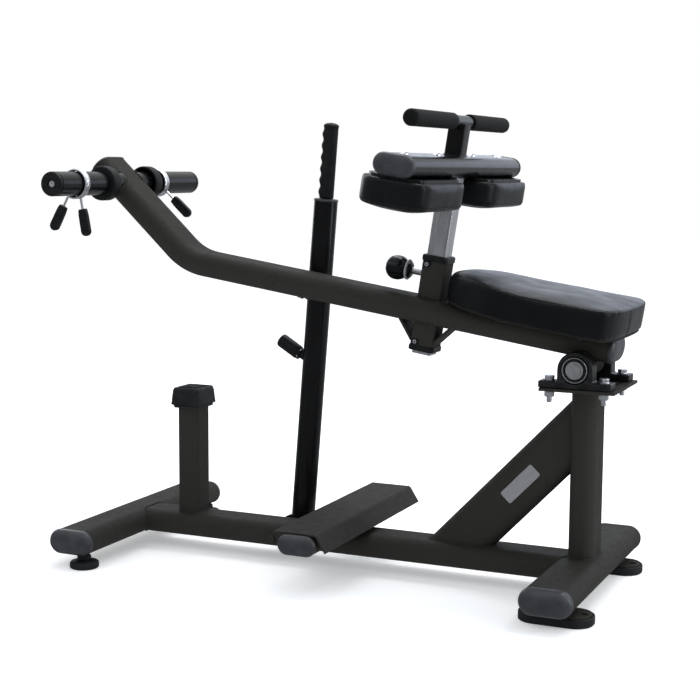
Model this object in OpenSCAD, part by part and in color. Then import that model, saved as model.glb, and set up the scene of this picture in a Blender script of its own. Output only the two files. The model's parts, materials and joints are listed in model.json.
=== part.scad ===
// Plate-loaded seated calf raise machine.
// X runs along the machine (+X towards the seat end), Y across it, Z up; millimetres.
// Origin: on the floor, midway between the rear feet, under the rear upright.

/* [Frame tubes] */
// Wide side of the flat-oval frame tube
tube_w = 100; // [80:1:120]
// Narrow side of the flat-oval frame tube
tube_h = 50; // [40:1:60]
// Wall thickness of the steel tubes
wall = 3; // [2:0.5:5]
// Height of the foot tube centre above the floor
foot_z = 53; // [40:1:80]
// X position of the front foot tube
front_foot_x = -1011.6; // [-1100:0.1:-900]
// Half length of the front foot tube without its caps
front_foot_half = 265; // [200:1:320]
// Half length of the rear foot tube without its caps
rear_foot_half = 261; // [200:1:320]
// Length of a plastic cap beyond its tube
cap_len = 18; // [8:1:30]

/* [Rear tower] */
// Height of the top of the rear upright
upright_top = 408.5; // [300:0.5:600]
// X where the brace centreline meets the level of the rail top
brace_foot_x = -240.7; // [-400:0.1:-100]
// Lean of the brace above the floor
brace_angle = 46.38; // [30:0.01:60]
// Length of the bearing plate
plate_l = 146; // [120:1:200]
// Width of the bearing plate
plate_w = 188; // [150:1:220]
// Thickness of the bearing plate
plate_t = 6; // [4:0.5:12]

/* [Main pivot] */
// X of the lever pivot
pivot_x = -5; // [-20:0.5:20]
// Height of the bearing centre above its mounting face
bearing_h = 36.5; // [30:0.1:50]
// Diameter of the pivot shaft
shaft_d = 25; // [20:1:40]
// Distance of each bearing block centre from the middle of the machine
bearing_y = 72; // [60:0.5:90]

/* [Lever] */
// Slope of the lever below horizontal, towards the seat
lever_slope = 8.68; // [0:0.01:20]
// X where the knee-pad post crosses the lever
cross_x = -327; // [-400:1:-250]
// Height where the knee-pad post crosses the lever
cross_z = 542; // [450:1:650]
// Distance from the post to the rear end of the lever tube
lever_rear = 378; // [300:1:450]
// Distance from the post to the bend
lever_bend = 549.5; // [450:0.5:650]
// Angle of the bend
bend_angle = 34.41; // [20:0.01:60]
// Centreline radius of the bend
bend_r = 130; // [80:1:200]
// Distance from the bend corner to the front end of the tube
lever_front = 292; // [200:1:350]

/* [Weight sleeves] */
// Outside diameter of the plate sleeves
sleeve_d = 50; // [25:1:50]
// X of the sleeve axis
sleeve_x = -1041; // [-1100:1:-900]
// Height of the sleeve axis
sleeve_z = 788.6; // [700:0.1:900]
// Half the distance over both sleeve ends
sleeve_half = 275; // [200:1:350]

/* [Knee pads] */
// Side of the square pad post
post_w = 40; // [30:1:50]
// Height of the pad underside above the lever centreline
pad_low = 213.5; // [180:0.5:260]
// Height of the crossbar centre above the lever centreline
crossbar_s = 291; // [250:1:350]
// Half length of the crossbar with its caps
crossbar_half = 320; // [250:1:360]
// Height of the handle bar above the lever centreline
handle_s = 377.5; // [330:0.5:420]
// Half length of the handle bar
handle_half = 269; // [200:1:320]

/* [Seat] */
// Distance from the post to the front of the seat
seat_front = 31; // [28:1:60]
// Length of the seat
seat_l = 375; // [300:1:450]
// Half width of the seat
seat_half = 156; // [120:1:200]
// Height of the seat top above the lever centreline
seat_top = 90; // [70:1:110]

/* [Safety catch] */
// X of the catch pivot
catch_x = -662; // [-700:1:-600]
// Distance of the catch tube from the middle of the machine
catch_y = 80; // [76:1:100]
// Lean of the catch tube away from vertical
catch_lean = 4.34; // [0:0.01:15]
// Diameter of the catch tube
catch_d = 50; // [40:1:60]
// Length of the catch tube along its axis
catch_l = 708; // [500:1:900]
// Slope of the catch pegs above horizontal
peg_slope = 31.7; // [0:0.1:60]

/* [Hidden] */
$fn = 48;
rail_h = tube_h - 0.4;
rail_top = foot_z + rail_h / 2;
plate_top = upright_top + plate_t;
pivot_z = plate_top + bearing_h;
housing_r = 34;
race_r = 17;
run_gap = 0.05;
socket_w = 50;
socket_low = -71;
socket_high = 100;
footrest_x = -504;
footrest_w = 80;
footrest_h = 40;
footrest_half = 246;
footrest_top = rail_top + footrest_h;
stop_x = -874.8;
stop_top = 308;
catch_axis_z = 49;
stop_ring_y = 97;
stop_ring_t = 27;
sleeve_core_d = sleeve_d - 2;
collar_bore_r = sleeve_d / 2 + 0.9;
coil_r = collar_bore_r + 3;
collar_grip_r = 53;
collar_arm_end = collar_grip_r + 11;
catch_offset = 12;
catch_pin_t = -335.6;
catch_pin_r = 9;
levelling_x = -989;
levelling_y = 256;
rear_pad_y = 192;

frame_colour = [0.19, 0.185, 0.175];
gloss_black = [0.06, 0.06, 0.065];
cap_colour = [0.2, 0.21, 0.23];
rubber_black = [0.08, 0.08, 0.08];
leather_black = [0.07, 0.075, 0.08];
steel = [0.72, 0.72, 0.74];
chrome_bright = [0.85, 0.86, 0.88];

// ---- shared shapes ----

// flat oval, wide along X, narrow along Y, rising along Z
module oval(w, h, len) {
    span = w - h;
    for (side = [-1, 1])
        translate([side * span / 2, 0, 0])
            cylinder(d = h, h = len);
    translate([-span / 2, -h / 2, 0])
        cube([span, h, len]);
}

module oval_tube(w, h, len, t = wall) {
    difference() {
        oval(w, h, len);
        translate([0, 0, -1])
            oval(w - 2 * t, h - 2 * t, len + 2);
    }
}

// half of a cap's outline: flat base, rounded outer edge
module cap_profile(r, len, round_r) {
    square([r - round_r, len]);
    square([r, len - round_r]);
    translate([r - round_r, len - round_r])
        intersection() {
            circle(r = round_r);
            square(round_r);
        }
}

// domed end cap for a flat-oval tube, base at Z = 0
module oval_cap(w, h, len, round_r) {
    span = w - h;
    for (side = [0, 1])
        mirror([side, 0, 0])
            translate([span / 2, 0, 0])
                rotate([0, 0, -90])
                    rotate_extrude(angle = 180)
                        cap_profile(h / 2, len, round_r);
    translate([-span / 2, 0, 0])
        rotate([90, 0, 90])
            linear_extrude(height = span) {
                cap_profile(h / 2, len, round_r);
                mirror([1, 0])
                    cap_profile(h / 2, len, round_r);
            }
}

// turns a shape drawn along +Z to run along +Y, keeping X
module along_y() {
    rotate([-90, 0, 0])
        children();
}

// mirrored pair about the middle plane of the machine
module both_sides() {
    for (side = [0, 1])
        mirror([0, side, 0])
            children();
}

// puts a shape into the sloping frame of the lever
module on_lever() {
    translate([cross_x, 0, cross_z])
        rotate([0, lever_slope, 0])
            children();
}

// puts a shape at the front bend, X pointing along the front part of the lever
module on_lever_front() {
    on_lever()
        translate([-lever_bend, 0, 0])
            rotate([0, bend_angle, 0])
                children();
}

module hex_head(across, h) {
    cylinder(d = across / cos(30), h = h, $fn = 6);
}

// square tube along Z
module square_tube(w, len, t) {
    difference() {
        translate([-w / 2, -w / 2, 0])
            cube([w, w, len]);
        translate([-w / 2 + t, -w / 2 + t, -1])
            cube([w - 2 * t, w - 2 * t, len + 2]);
    }
}

// ---- base frame ----

module foot_solid(x) {
    translate([x, -400, foot_z])
        along_y()
            oval(tube_w, tube_h, 800);
}

module main_rail() {
    color(frame_colour)
        difference() {
            translate([front_foot_x, 0, foot_z])
                rotate([90, 0, 90])
                    oval_tube(tube_w - 0.4, rail_h, -front_foot_x);
            foot_solid(front_foot_x);
            foot_solid(0);
            translate([catch_x, -60, catch_axis_z])
                along_y()
                    cylinder(d = 16.4, h = 120);
        }
}

module foot_tube(half) {
    translate([0, -half, foot_z])
        along_y()
            oval_tube(tube_w, tube_h, 2 * half);
}

module front_foot_tube() {
    color(frame_colour)
        difference() {
            translate([front_foot_x, 0, 0])
                foot_tube(front_foot_half);
            both_sides()
                translate([levelling_x, levelling_y, 20])
                    cylinder(r = 6 + run_gap, h = 20);
        }
}

module rear_foot_tube() {
    color(frame_colour)
        foot_tube(rear_foot_half);
}

module foot_end_caps() {
    color(cap_colour)
        both_sides() {
            translate([front_foot_x, front_foot_half, foot_z])
                along_y()
                    oval_cap(tube_w + 2, tube_h + 2, cap_len, 12.5);
            translate([0, rear_foot_half, foot_z])
                along_y()
                    oval_cap(tube_w + 2, tube_h + 2, cap_len, 12.5);
        }
}

module rear_upright() {
    color(frame_colour)
        translate([0, 0, foot_z + tube_h / 2])
            rotate([0, 0, 90])
                oval_tube(tube_w, tube_h, upright_top - foot_z - tube_h / 2);
}

module brace_tube() {
    color(frame_colour)
        intersection() {
            translate([brace_foot_x, 0, 88.9])
                rotate([0, 90 - brace_angle, 0])
                    translate([0, 0, -200])
                        oval_tube(tube_w, tube_h, 700);
            translate([-800, -100, rail_top])
                cube([800 - tube_h / 2, 200, 500]);
        }
}

module badge_plate() {
    color(steel)
        translate([-125.4, -tube_h / 2, 211.2])
            rotate([0, -brace_angle, 0])
                rotate([90, 0, 0])
                    linear_extrude(height = 1.5)
                        rounded_rect(88, 29, 4);
}

module rounded_rect(l, w, r) {
    for (sx = [-1, 1], sy = [-1, 1])
        translate([sx * (l / 2 - r), sy * (w / 2 - r)])
            circle(r = r);
    square([l - 2 * r, w], center = true);
    square([l, w - 2 * r], center = true);
}

// hollow square post with its closing plate
module stop_post() {
    color(frame_colour) {
        translate([stop_x, 0, rail_top])
            square_tube(50, stop_top - rail_top, wall);
        translate([stop_x - 30, -34, stop_top])
            cube([60, 68, 4]);
    }
}

// rubber block, narrower at the top, with a ribbed recess
module stop_bumper() {
    base_z = stop_top + 4;
    color(rubber_black)
        difference() {
            translate([stop_x, 0, base_z])
                bumper_body();
            translate([stop_x - 20, -24, base_z + 32])
                cube([40, 48, 8]);
        }
    color(rubber_black)
        for (k = [-2 : 2])
            translate([stop_x - 20, k * 9.6 - 1.5, base_z + 31])
                cube([40, 3, 5]);
}

module bumper_body() {
    linear_extrude(height = 22)
        rounded_rect(66, 76, 6);
    for (step = [0 : 5])
        translate([0, 0, 22 + step * 2.5])
            linear_extrude(height = 2.5)
                rounded_rect(66 - 2 * step, 76 - 2 * step, 6);
}

module footrest_bar() {
    color(frame_colour)
        translate([footrest_x, -footrest_half, rail_top + footrest_h / 2])
            along_y()
                oval_tube(footrest_w, footrest_h, 2 * footrest_half);
}

module footrest_bar_caps() {
    color(cap_colour)
        both_sides()
            translate([footrest_x, footrest_half, rail_top + footrest_h / 2])
                along_y()
                    oval_cap(footrest_w + 1, footrest_h + 1, 14, 9);
}

// foot plate: flat tread, then a steep flange that hangs towards the seat
module footrest_plate() {
    tread_l = 90;
    flange_l = 39;
    flange_dip = 59;
    t = 4;
    run = flange_l * cos(flange_dip);
    drop = flange_l * sin(flange_dip);
    color(frame_colour)
        translate([footrest_x - 52, -footrest_half, footrest_top])
            along_y()
                mirror([0, 1, 0])
                    linear_extrude(height = 2 * footrest_half)
                        polygon([
                            [0, 0], [tread_l, 0], [tread_l + run, -drop],
                            [tread_l + run + t * sin(flange_dip), t * cos(flange_dip) - drop],
                            [tread_l + t * tan(flange_dip / 2), t], [0, t]
                        ]);
}

module rear_foot_flanges() {
    color(frame_colour)
        both_sides()
            translate([0, rear_pad_y, 0])
                difference() {
                    union() {
                        translate([0, 0, 14])
                            linear_extrude(height = 5)
                                rounded_rect(132, 70, 30);
                        translate([-30, -25, 19])
                            cube([60, 50, foot_z - tube_h / 2 - 19]);
                    }
                    floor_slots();
                }
}

module floor_slots() {
    for (side = [-1, 1])
        translate([side * 52, 0, -1])
            oval(16, 9, 60);
}

module rear_rubber_feet() {
    color(rubber_black)
        both_sides()
            translate([0, rear_pad_y, 0])
                difference() {
                    linear_extrude(height = 14)
                        rounded_rect(142, 80, 36);
                    floor_slots();
                }
}

// ---- main bearings ----

module bearing_plate() {
    color(frame_colour)
        difference() {
            translate([-plate_l / 2, -plate_w / 2, upright_top])
                cube([plate_l, plate_w, plate_t]);
            bearing_bolt_places()
                translate([0, 0, -50])
                    cylinder(d = 11, h = 60);
        }
}

module bearing_bolt_places() {
    for (sx = [-1, 1], sy = [-1, 1])
        translate([pivot_x + sx * 52.5, sy * bearing_y, plate_top])
            children();
}

module bearing_housings() {
    color(gloss_black)
        difference() {
            both_sides()
                translate([pivot_x, bearing_y, plate_top]) {
                    translate([-70, -19, 0])
                        cube([140, 38, 14]);
                    translate([-housing_r, -17, 0])
                        cube([2 * housing_r, 34, bearing_h]);
                    translate([0, -17, bearing_h])
                        along_y()
                            cylinder(r = housing_r, h = 34);
                }
            translate([pivot_x, -100, pivot_z])
                along_y()
                    cylinder(r = race_r + run_gap, h = 200);
            translate([pivot_x, -100, pivot_z])
                seal_grooves();
            bearing_bolt_places()
                translate([0, 0, -1])
                    cylinder(d = 11, h = 30);
        }
}

// shallow seal grooves in the outer faces of both blocks
module seal_grooves() {
    for (y = [100 - bearing_y - 17 - 20, 100 + bearing_y + 17 - 3])
        translate([0, y, 0])
            along_y()
                difference() {
                    cylinder(r = 27, h = 23);
                    translate([0, 0, -1])
                        cylinder(r = 21, h = 25);
                }
}

module bearing_bolts() {
    color(steel)
        bearing_bolt_places() {
            translate([0, 0, 14]) {
                cylinder(d = 21, h = 2);
                translate([0, 0, 2])
                    hex_head(17, 7);
            }
            translate([0, 0, -26])
                cylinder(d = 10, h = 40);
            translate([0, 0, -plate_t - 12])
                hex_head(17, 10);
            translate([0, 0, -plate_t - 2])
                cylinder(d = 21, h = 2);
        }
}

// ---- lever ----

// outer solid of the bent lever, grown or shrunk by g; the bend overlaps both straights
module lever_solid(g = 0) {
    w = tube_w + 2 * g;
    h = tube_h + 2 * g;
    over = g < 0 ? 1 : 0;
    swell = 0.15;
    lap = 0.5;
    setback = bend_r * tan(bend_angle / 2);
    on_lever()
        translate([-lever_bend + setback, 0, 0])
            rotate([90, 0, 90])
                oval(w, h, lever_bend - setback + lever_rear + over);
    on_lever()
        translate([-lever_bend + setback, 0, bend_r])
            rotate([90, 90, 0])
                rotate([0, 0, -bend_angle - lap])
                    rotate_extrude(angle = bend_angle + 2 * lap)
                        translate([bend_r, 0])
                            lever_section(w + 2 * swell, h + 2 * swell);
    on_lever_front()
        translate([-lever_front - over, 0, 0])
            rotate([90, 0, 90])
                oval(w, h, lever_front - setback + over);
}

module lever_section(w, h) {
    for (side = [-1, 1])
        translate([0, side * (w - h) / 2])
            circle(d = h);
    square([h, w - h], center = true);
}

module lever_tube() {
    color(frame_colour)
        difference() {
            lever_solid();
            lever_solid(-wall);
            on_lever()
                translate([-socket_w / 2, -socket_w / 2, -60])
                    cube([socket_w, socket_w, 120]);
            translate([pivot_x, -60, pivot_z])
                along_y()
                    cylinder(d = 44, h = 120);
            on_lever()
                translate([catch_pin_t, 0, 0])
                    along_y()
                        translate([0, 0, -60])
                            cylinder(r = catch_pin_r, h = 120);
        }
}

module lever_end_caps() {
    color(cap_colour) {
        on_lever()
            translate([lever_rear, 0, 0])
                rotate([0, 90, 0])
                    rotate([0, 0, 90])
                        oval_cap(tube_w + 2, tube_h + 2, 13, 10);
        on_lever_front()
            translate([-lever_front, 0, 0])
                rotate([0, -90, 0])
                    rotate([0, 0, 90])
                        oval_cap(tube_w + 2, tube_h + 2, 9, 7);
    }
}

module pivot_hub() {
    color(frame_colour)
        translate([pivot_x, -50, pivot_z])
            along_y()
                difference() {
                    cylinder(d = 44, h = 100);
                    translate([0, 0, -1])
                        cylinder(d = shaft_d, h = 102);
                }
}

module pivot_shaft() {
    color(steel)
        translate([pivot_x, -94, pivot_z])
            along_y()
                cylinder(d = shaft_d, h = 188);
}

module bearing_inner_rings() {
    color(steel)
        both_sides()
            translate([pivot_x, bearing_y - 19, pivot_z])
                along_y()
                    difference() {
                        cylinder(r = race_r, h = 39);
                        translate([0, 0, -1])
                            cylinder(d = shaft_d, h = 41);
                    }
}

module post_socket() {
    color(frame_colour)
        difference() {
            on_lever()
                translate([0, 0, socket_low])
                    square_tube(socket_w, socket_high - socket_low, wall);
            on_lever()
                translate([-60, 0, 72])
                    rotate([0, 90, 0])
                        cylinder(d = 14, h = 40);
        }
}

// plastic guides with a lip over each end of the socket
module post_bushings() {
    color(rubber_black)
        on_lever()
            difference() {
                union() {
                    bushing_lip(socket_high, 12);
                    bushing_lip(socket_low - 11, 11);
                    translate([-22, -22, socket_high - 20])
                        cube([44, 44, 20]);
                    translate([-22, -22, socket_low])
                        cube([44, 44, 24]);
                }
                translate([-post_w / 2 - 0.3, -post_w / 2 - 0.3, -100])
                    cube([post_w + 0.6, post_w + 0.6, 240]);
            }
}

module bushing_lip(z0, h) {
    translate([-27, -27, z0])
        cube([54, 54, h]);
}

module button_screws() {
    color(steel) {
        on_lever() {
            translate([-14, -socket_w / 2, socket_high - 7])
                rotate([90, 0, 0])
                    button_head(8, 3);
            translate([-14, -socket_w / 2, socket_low + 7])
                rotate([90, 0, 0])
                    button_head(8, 3);
        }
        both_sides()
            translate([sleeve_x, sleeve_half - 8, sleeve_z])
                along_y()
                    button_head(13, 5);
    }
}

module button_head(d, h) {
    difference() {
        cylinder(d = d, h = h);
        translate([0, 0, h - 2])
            hex_head(d * 0.4, 3);
    }
}

// sloping plates that tie the socket to the underside of the lever
module socket_gussets() {
    gusset_x = 32;
    gusset_z = 39;
    gusset_t = 5;
    slant = atan2(gusset_z, gusset_x);
    color(frame_colour)
        on_lever()
            for (side = [0, 1])
                mirror([side, 0, 0])
                    intersection() {
                        translate([socket_w / 2, -socket_w / 2, -tube_h / 2 - gusset_z])
                            rotate([0, -slant, 0])
                                translate([-20, 0, 0])
                                    cube([100, socket_w, gusset_t]);
                        translate([socket_w / 2, -50, -tube_h / 2 - 60])
                            cube([60, 100, 60]);
                    }
}

// threaded guide of the pull pin, screwed to the front of the socket
module pin_housing() {
    color(chrome_bright)
        on_lever()
            translate([-socket_w / 2, 0, 72])
                rotate([0, -90, 0])
                    difference() {
                        union() {
                            hex_head(19, 6);
                            cylinder(d = 15, h = 26);
                        }
                        translate([0, 0, -1])
                            cylinder(r = 4 + run_gap, h = 30);
                    }
}

module weight_sleeves() {
    color(gloss_black)
        difference() {
            both_sides()
                translate([sleeve_x, 0, sleeve_z])
                    along_y() {
                        translate([0, 0, 30])
                            cylinder(d = sleeve_core_d, h = stop_ring_y - 29);
                        translate([0, 0, stop_ring_y])
                            cylinder(d = sleeve_d, h = sleeve_half - 10 - stop_ring_y);
                    }
            lever_solid();
            both_sides()
                translate([sleeve_x, 60, sleeve_z])
                    along_y()
                        cylinder(r = sleeve_d / 2 - 5, h = 300);
        }
}

// stop rings beside the lever, hollow on the lever side
module weight_flanges() {
    color(rubber_black)
        both_sides()
            translate([sleeve_x, stop_ring_y - stop_ring_t, sleeve_z])
                along_y()
                    difference() {
                        cylinder(d = 73, h = stop_ring_t);
                        translate([0, 0, -1])
                            cylinder(d = sleeve_core_d, h = stop_ring_t + 2);
                        translate([0, 0, -1])
                            cylinder(d = 64, h = stop_ring_t - 10);
                    }
}

module sleeve_end_caps() {
    color(rubber_black)
        both_sides()
            translate([sleeve_x, sleeve_half - 10, sleeve_z])
                along_y()
                    difference() {
                        cylinder(d = sleeve_d, h = 10);
                        translate([0, 0, 2])
                            cylinder(d = 16, h = 10);
                    }
}

module catch_pin() {
    color(frame_colour)
        on_lever()
            translate([catch_pin_t, -51, 0])
                along_y()
                    cylinder(r = catch_pin_r, h = 151);
}

// ---- seat ----

// half width of the seat a distance u back from its front edge
function seat_half_at(u) =
    let (nose = 215, tail = 42)
        u < nose ? seat_half * pow(1 - pow((nose - u) / nose, 1.7), 1 / 1.7)
      : u > seat_l - tail ? seat_half * pow(1 - pow((u - seat_l + tail) / tail, 3), 1 / 3)
      : seat_half;

module seat_outline(inset = 0) {
    steps = 40;
    us = [for (k = [0 : steps]) seat_l * (1 - cos(180 * k / steps)) / 2];
    near = [for (u = us) [inset + u * (1 - 2 * inset / seat_l), seat_half_at(u) * (1 - inset / seat_half)]];
    far = [for (k = [steps - 1 : -1 : 1]) [near[k][0], -near[k][1]]];
    translate([seat_front, 0])
        polygon(concat(near, far));
}

module seat_straps() {
    color(frame_colour)
        on_lever()
            for (t = [190, 330])
                difference() {
                    translate([t - 15, -125, tube_h / 2])
                        cube([30, 250, 4]);
                    for (side = [-1, 1])
                        translate([t, side * 108, 0])
                            cylinder(d = 8.5, h = 60);
                }
}

module seat_bolts() {
    color(steel)
        on_lever()
            for (t = [190, 330], side = [-1, 1])
                translate([t, side * 108, tube_h / 2 - 5]) {
                    hex_head(13, 5);
                    cylinder(d = 8, h = 18);
                }
}

module seat_board() {
    color(leather_black)
        on_lever()
            difference() {
                translate([0, 0, tube_h / 2 + 4])
                    linear_extrude(height = 12)
                        seat_outline(4);
                for (t = [190, 330], side = [-1, 1])
                    translate([t, side * 108, 0])
                        cylinder(d = 8.5, h = 38.5);
            }
}

module seat_cushion() {
    color(leather_black)
        on_lever()
            translate([0, 0, tube_h / 2 + 16.2])
                linear_extrude(height = seat_top - tube_h / 2 - 16.2)
                    seat_outline();
}

// ---- knee pads and handle ----

module pad_post() {
    color(steel)
        on_lever()
            difference() {
                translate([0, 0, -88])
                    square_tube(post_w, crossbar_s - 20 + 88, wall);
                for (k = [0 : 6])
                    translate([-40, 0, 72 - 25 * 3 + 25 * k])
                        rotate([0, 90, 0])
                            cylinder(d = 11, h = 30);
            }
}

module pad_crossbar() {
    color(gloss_black)
        on_lever()
            translate([0, -crossbar_half + 14, crossbar_s])
                along_y()
                    oval_tube(80, 40, 2 * crossbar_half - 28);
}

module crossbar_caps() {
    color(cap_colour)
        on_lever()
            both_sides()
                translate([0, crossbar_half - 14, crossbar_s])
                    along_y()
                        oval_cap(82, 42, 14, 10);
}

module pad_bolts() {
    color(steel)
        on_lever()
            for (y = [-265, -100, 100, 265])
                translate([0, y, crossbar_s + 20])
                    intersection() {
                        translate([0, 0, -8.5])
                            sphere(r = 13);
                        cylinder(d = 20, h = 8);
                    }
}

// plan of the left knee pad: large front outer corner, smaller others
module knee_outline(inset = 0) {
    x0 = -80 + inset;
    x1 = 66 - inset;
    y0 = 60 + inset;
    y1 = 318 - inset;
    corner = 50 - inset;
    outer_front = 72 - inset;
    outer_rear = 36 - inset;
    mirror([0, 1]) {
        translate([x0 + corner, y0 + corner])
            circle(r = corner);
        translate([x1 - corner, y0 + corner])
            circle(r = corner);
        translate([x0 + outer_front, y1 - outer_front])
            circle(r = outer_front);
        translate([x1 - outer_rear, y1 - outer_rear])
            circle(r = outer_rear);
        translate([x0 + corner, y0])
            square([x1 - x0 - 2 * corner, 90]);
        translate([x0, y0 + corner])
            square([x1 - x0, y1 - outer_front - y0 - corner]);
        translate([x0 + outer_front, y0 + 60])
            square([x1 - outer_rear - x0 - outer_front, y1 - y0 - 60]);
        translate([x0 + outer_front, y0 + 60])
            square([x1 - x0 - outer_front, y1 - outer_rear - y0 - 60]);
    }
}

module knee_boards() {
    color(rubber_black)
        on_lever()
            both_sides()
                translate([0, 0, pad_low + 45])
                    linear_extrude(height = crossbar_s - 20 - pad_low - 45)
                        knee_outline(13);
}

module knee_cushion() {
    on_lever()
        translate([0, 0, pad_low])
            linear_extrude(height = 44.8)
                knee_outline();
}

module knee_cushion_left() {
    color(leather_black)
        knee_cushion();
}

module knee_cushion_right() {
    color(leather_black)
        mirror([0, 1, 0])
            knee_cushion();
}

module handle_post() {
    color(gloss_black)
        difference() {
            on_lever()
                translate([0, 0, crossbar_s + 20])
                    square_tube(36, handle_s - crossbar_s - 20, 2);
            on_lever()
                translate([0, -50, handle_s])
                    along_y()
                        cylinder(d = 25, h = 100);
        }
}

module handle_bar() {
    color(gloss_black)
        on_lever()
            translate([0, -handle_half + 4, handle_s])
                along_y()
                    cylinder(d = 25, h = 2 * handle_half - 8);
}

module handle_grips() {
    color(rubber_black)
        on_lever()
            both_sides()
                translate([0, 45, handle_s])
                    along_y()
                        difference() {
                            rotate_extrude()
                                cap_profile(16, handle_half - 45, 7.5);
                            translate([0, 0, -1])
                                cylinder(d = 25, h = handle_half - 48);
                        }
}

// ---- pull pin ----

module pull_pin_rod() {
    color(steel)
        on_lever()
            translate([-post_w / 2 - 0.3, 0, 72])
                rotate([0, -90, 0])
                    cylinder(r = 4, h = 40);
}

// ball knob with a plain ring towards the socket
module pull_pin_knob() {
    color(gloss_black)
        on_lever()
            translate([-53, 0, 72])
                rotate([0, -90, 0])
                    difference() {
                        union() {
                            cylinder(d = 30, h = 12);
                            translate([0, 0, 12])
                                cylinder(d = 44, h = 5);
                            intersection() {
                                translate([0, 0, 31])
                                    sphere(r = 25);
                                translate([0, 0, 17])
                                    cylinder(d = 46, h = 37);
                            }
                        }
                        translate([0, 0, -1])
                            cylinder(r = 4, h = 8.3);
                    }
}

// ---- safety catch ----

// puts a shape at the catch pivot, Z along the catch tube
module on_catch() {
    translate([catch_x, catch_y, catch_axis_z])
        rotate([0, catch_lean, 0])
            translate([catch_offset, 0, 0])
                children();
}

module catch_tube() {
    color(gloss_black)
        difference() {
            union() {
                on_catch()
                    difference() {
                        translate([0, 0, 8])
                            cylinder(d = catch_d, h = catch_l - 8);
                        translate([0, 0, 30])
                            cylinder(d = catch_d - 2 * wall, h = catch_l);
                    }
                translate([catch_x, catch_y - 27, catch_axis_z])
                    along_y()
                        cylinder(d = 56, h = 54);
                on_catch()
                    for (s = peg_heights)
                        translate([0, 0, s])
                            peg_axis()
                                translate([0, 0, catch_d / 2 - 2])
                                    cylinder(d = 16, h = peg_len(s) + peg_neck - 10);
            }
            translate([catch_x, catch_y - 40, catch_axis_z])
                along_y()
                    cylinder(r = 8 + run_gap, h = 80);
        }
}

peg_heights = [359, 490];
function peg_len(s) = s > 400 ? 30 : 58;
peg_neck = 12;

// turns Z to run along a peg, up and towards the front
module peg_axis() {
    rotate([0, -90 + peg_slope - catch_lean, 0])
        children();
}

module catch_peg_covers() {
    color(rubber_black)
        on_catch()
            for (s = peg_heights)
                translate([0, 0, s])
                    peg_axis()
                        translate([0, 0, catch_d / 2 + peg_neck])
                            difference() {
                                rotate_extrude()
                                    cap_profile(15, peg_len(s), 6);
                                translate([0, 0, -1])
                                    cylinder(d = 16, h = peg_len(s) - 11);
                            }
}

module catch_tube_cap() {
    color(cap_colour)
        on_catch()
            translate([0, 0, catch_l])
                difference() {
                    cylinder(d = catch_d + 2, h = 5);
                    translate([0, 0, -1])
                        cylinder(d = 20, h = 10);
                }
}

module catch_rod() {
    color(gloss_black)
        on_catch()
            translate([0, 0, catch_l - 60])
                cylinder(d = 20, h = 218);
}

module catch_grip() {
    color(rubber_black)
        on_catch()
            translate([0, 0, catch_l + 6])
                difference() {
                    union() {
                        cylinder(d = 31, h = 152);
                        translate([0, 0, 152])
                            cylinder(d = 34, h = 6);
                        for (k = [0 : 5])
                            translate([-6, 0, 14 + 24 * k])
                                sphere(r = 12.5);
                    }
                    translate([0, 0, -1])
                        cylinder(d = 20, h = 153);
                }
}

// pivot bolt of the catch, through the rail from the near side
module catch_pivot_bolt() {
    color(frame_colour)
        translate([catch_x, 0, catch_axis_z])
            along_y() {
                translate([0, 0, -55])
                    cylinder(d = 20, h = 5.2);
                translate([0, 0, -50])
                    cylinder(d = 16, h = 50 + catch_y + 42);
                translate([0, 0, catch_y + 28])
                    cylinder(d = 30, h = 2);
                translate([0, 0, catch_y + 30])
                    hex_head(24, 10);
            }
}

// ---- spring collars ----

module collar_spring(y, angles) {
    translate([sleeve_x, y, sleeve_z])
        along_y() {
            rotate_extrude() {
                for (k = [-1.5 : 1 : 1.5])
                    translate([coil_r, k * 5.6])
                        circle(d = 6, $fn = 24);
                translate([collar_bore_r, -8.4])
                    square([3, 16.8]);
            }
            for (k = [0, 1])
                rotate([0, 0, angles[k]])
                    translate([coil_r, 0, 8.4 - 16.8 * k])
                        rotate([0, 90, 0])
                            cylinder(d = 5, h = collar_arm_end - coil_r);
        }
}

module collar_handles(y, angles) {
    translate([sleeve_x, y, sleeve_z])
        along_y()
            for (k = [0, 1])
                rotate([0, 0, angles[k]])
                    translate([collar_grip_r, 0, 8.4 - 16.8 * k])
                        rotate([0, 90, 0])
                            difference() {
                                union() {
                                    translate([-5.5, -10.5, 0])
                                        cube([11, 21, 46]);
                                    translate([-5.5, 0, 46])
                                        rotate([0, 90, 0])
                                            cylinder(d = 21, h = 11);
                                }
                                translate([0, 0, -1])
                                    cylinder(d = 5, h = 12.1);
                            }
}

collar_y = [-187, 127];
collar_angles = [[80, 119], [42, 77]];

module collar_spring_left() {
    color(chrome_bright)
        collar_spring(collar_y[0], collar_angles[0]);
}

module collar_handles_left() {
    color(rubber_black)
        collar_handles(collar_y[0], collar_angles[0]);
}

module collar_spring_right() {
    color(chrome_bright)
        collar_spring(collar_y[1], collar_angles[1]);
}

module collar_handles_right() {
    color(rubber_black)
        collar_handles(collar_y[1], collar_angles[1]);
}

// ---- levelling feet ----

module levelling_foot() {
    translate([levelling_x, -levelling_y, 0]) {
        rotate_extrude()
            polygon([[0, 0], [27, 0], [30, 3], [30, 11], [27, 14], [14, 15], [11, 22], [0, 22]]);
        cylinder(r = 6, h = 60);
    }
}

module levelling_foot_left() {
    color(rubber_black)
        levelling_foot();
}

module levelling_foot_right() {
    color(rubber_black)
        mirror([0, 1, 0])
            levelling_foot();
}

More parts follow.
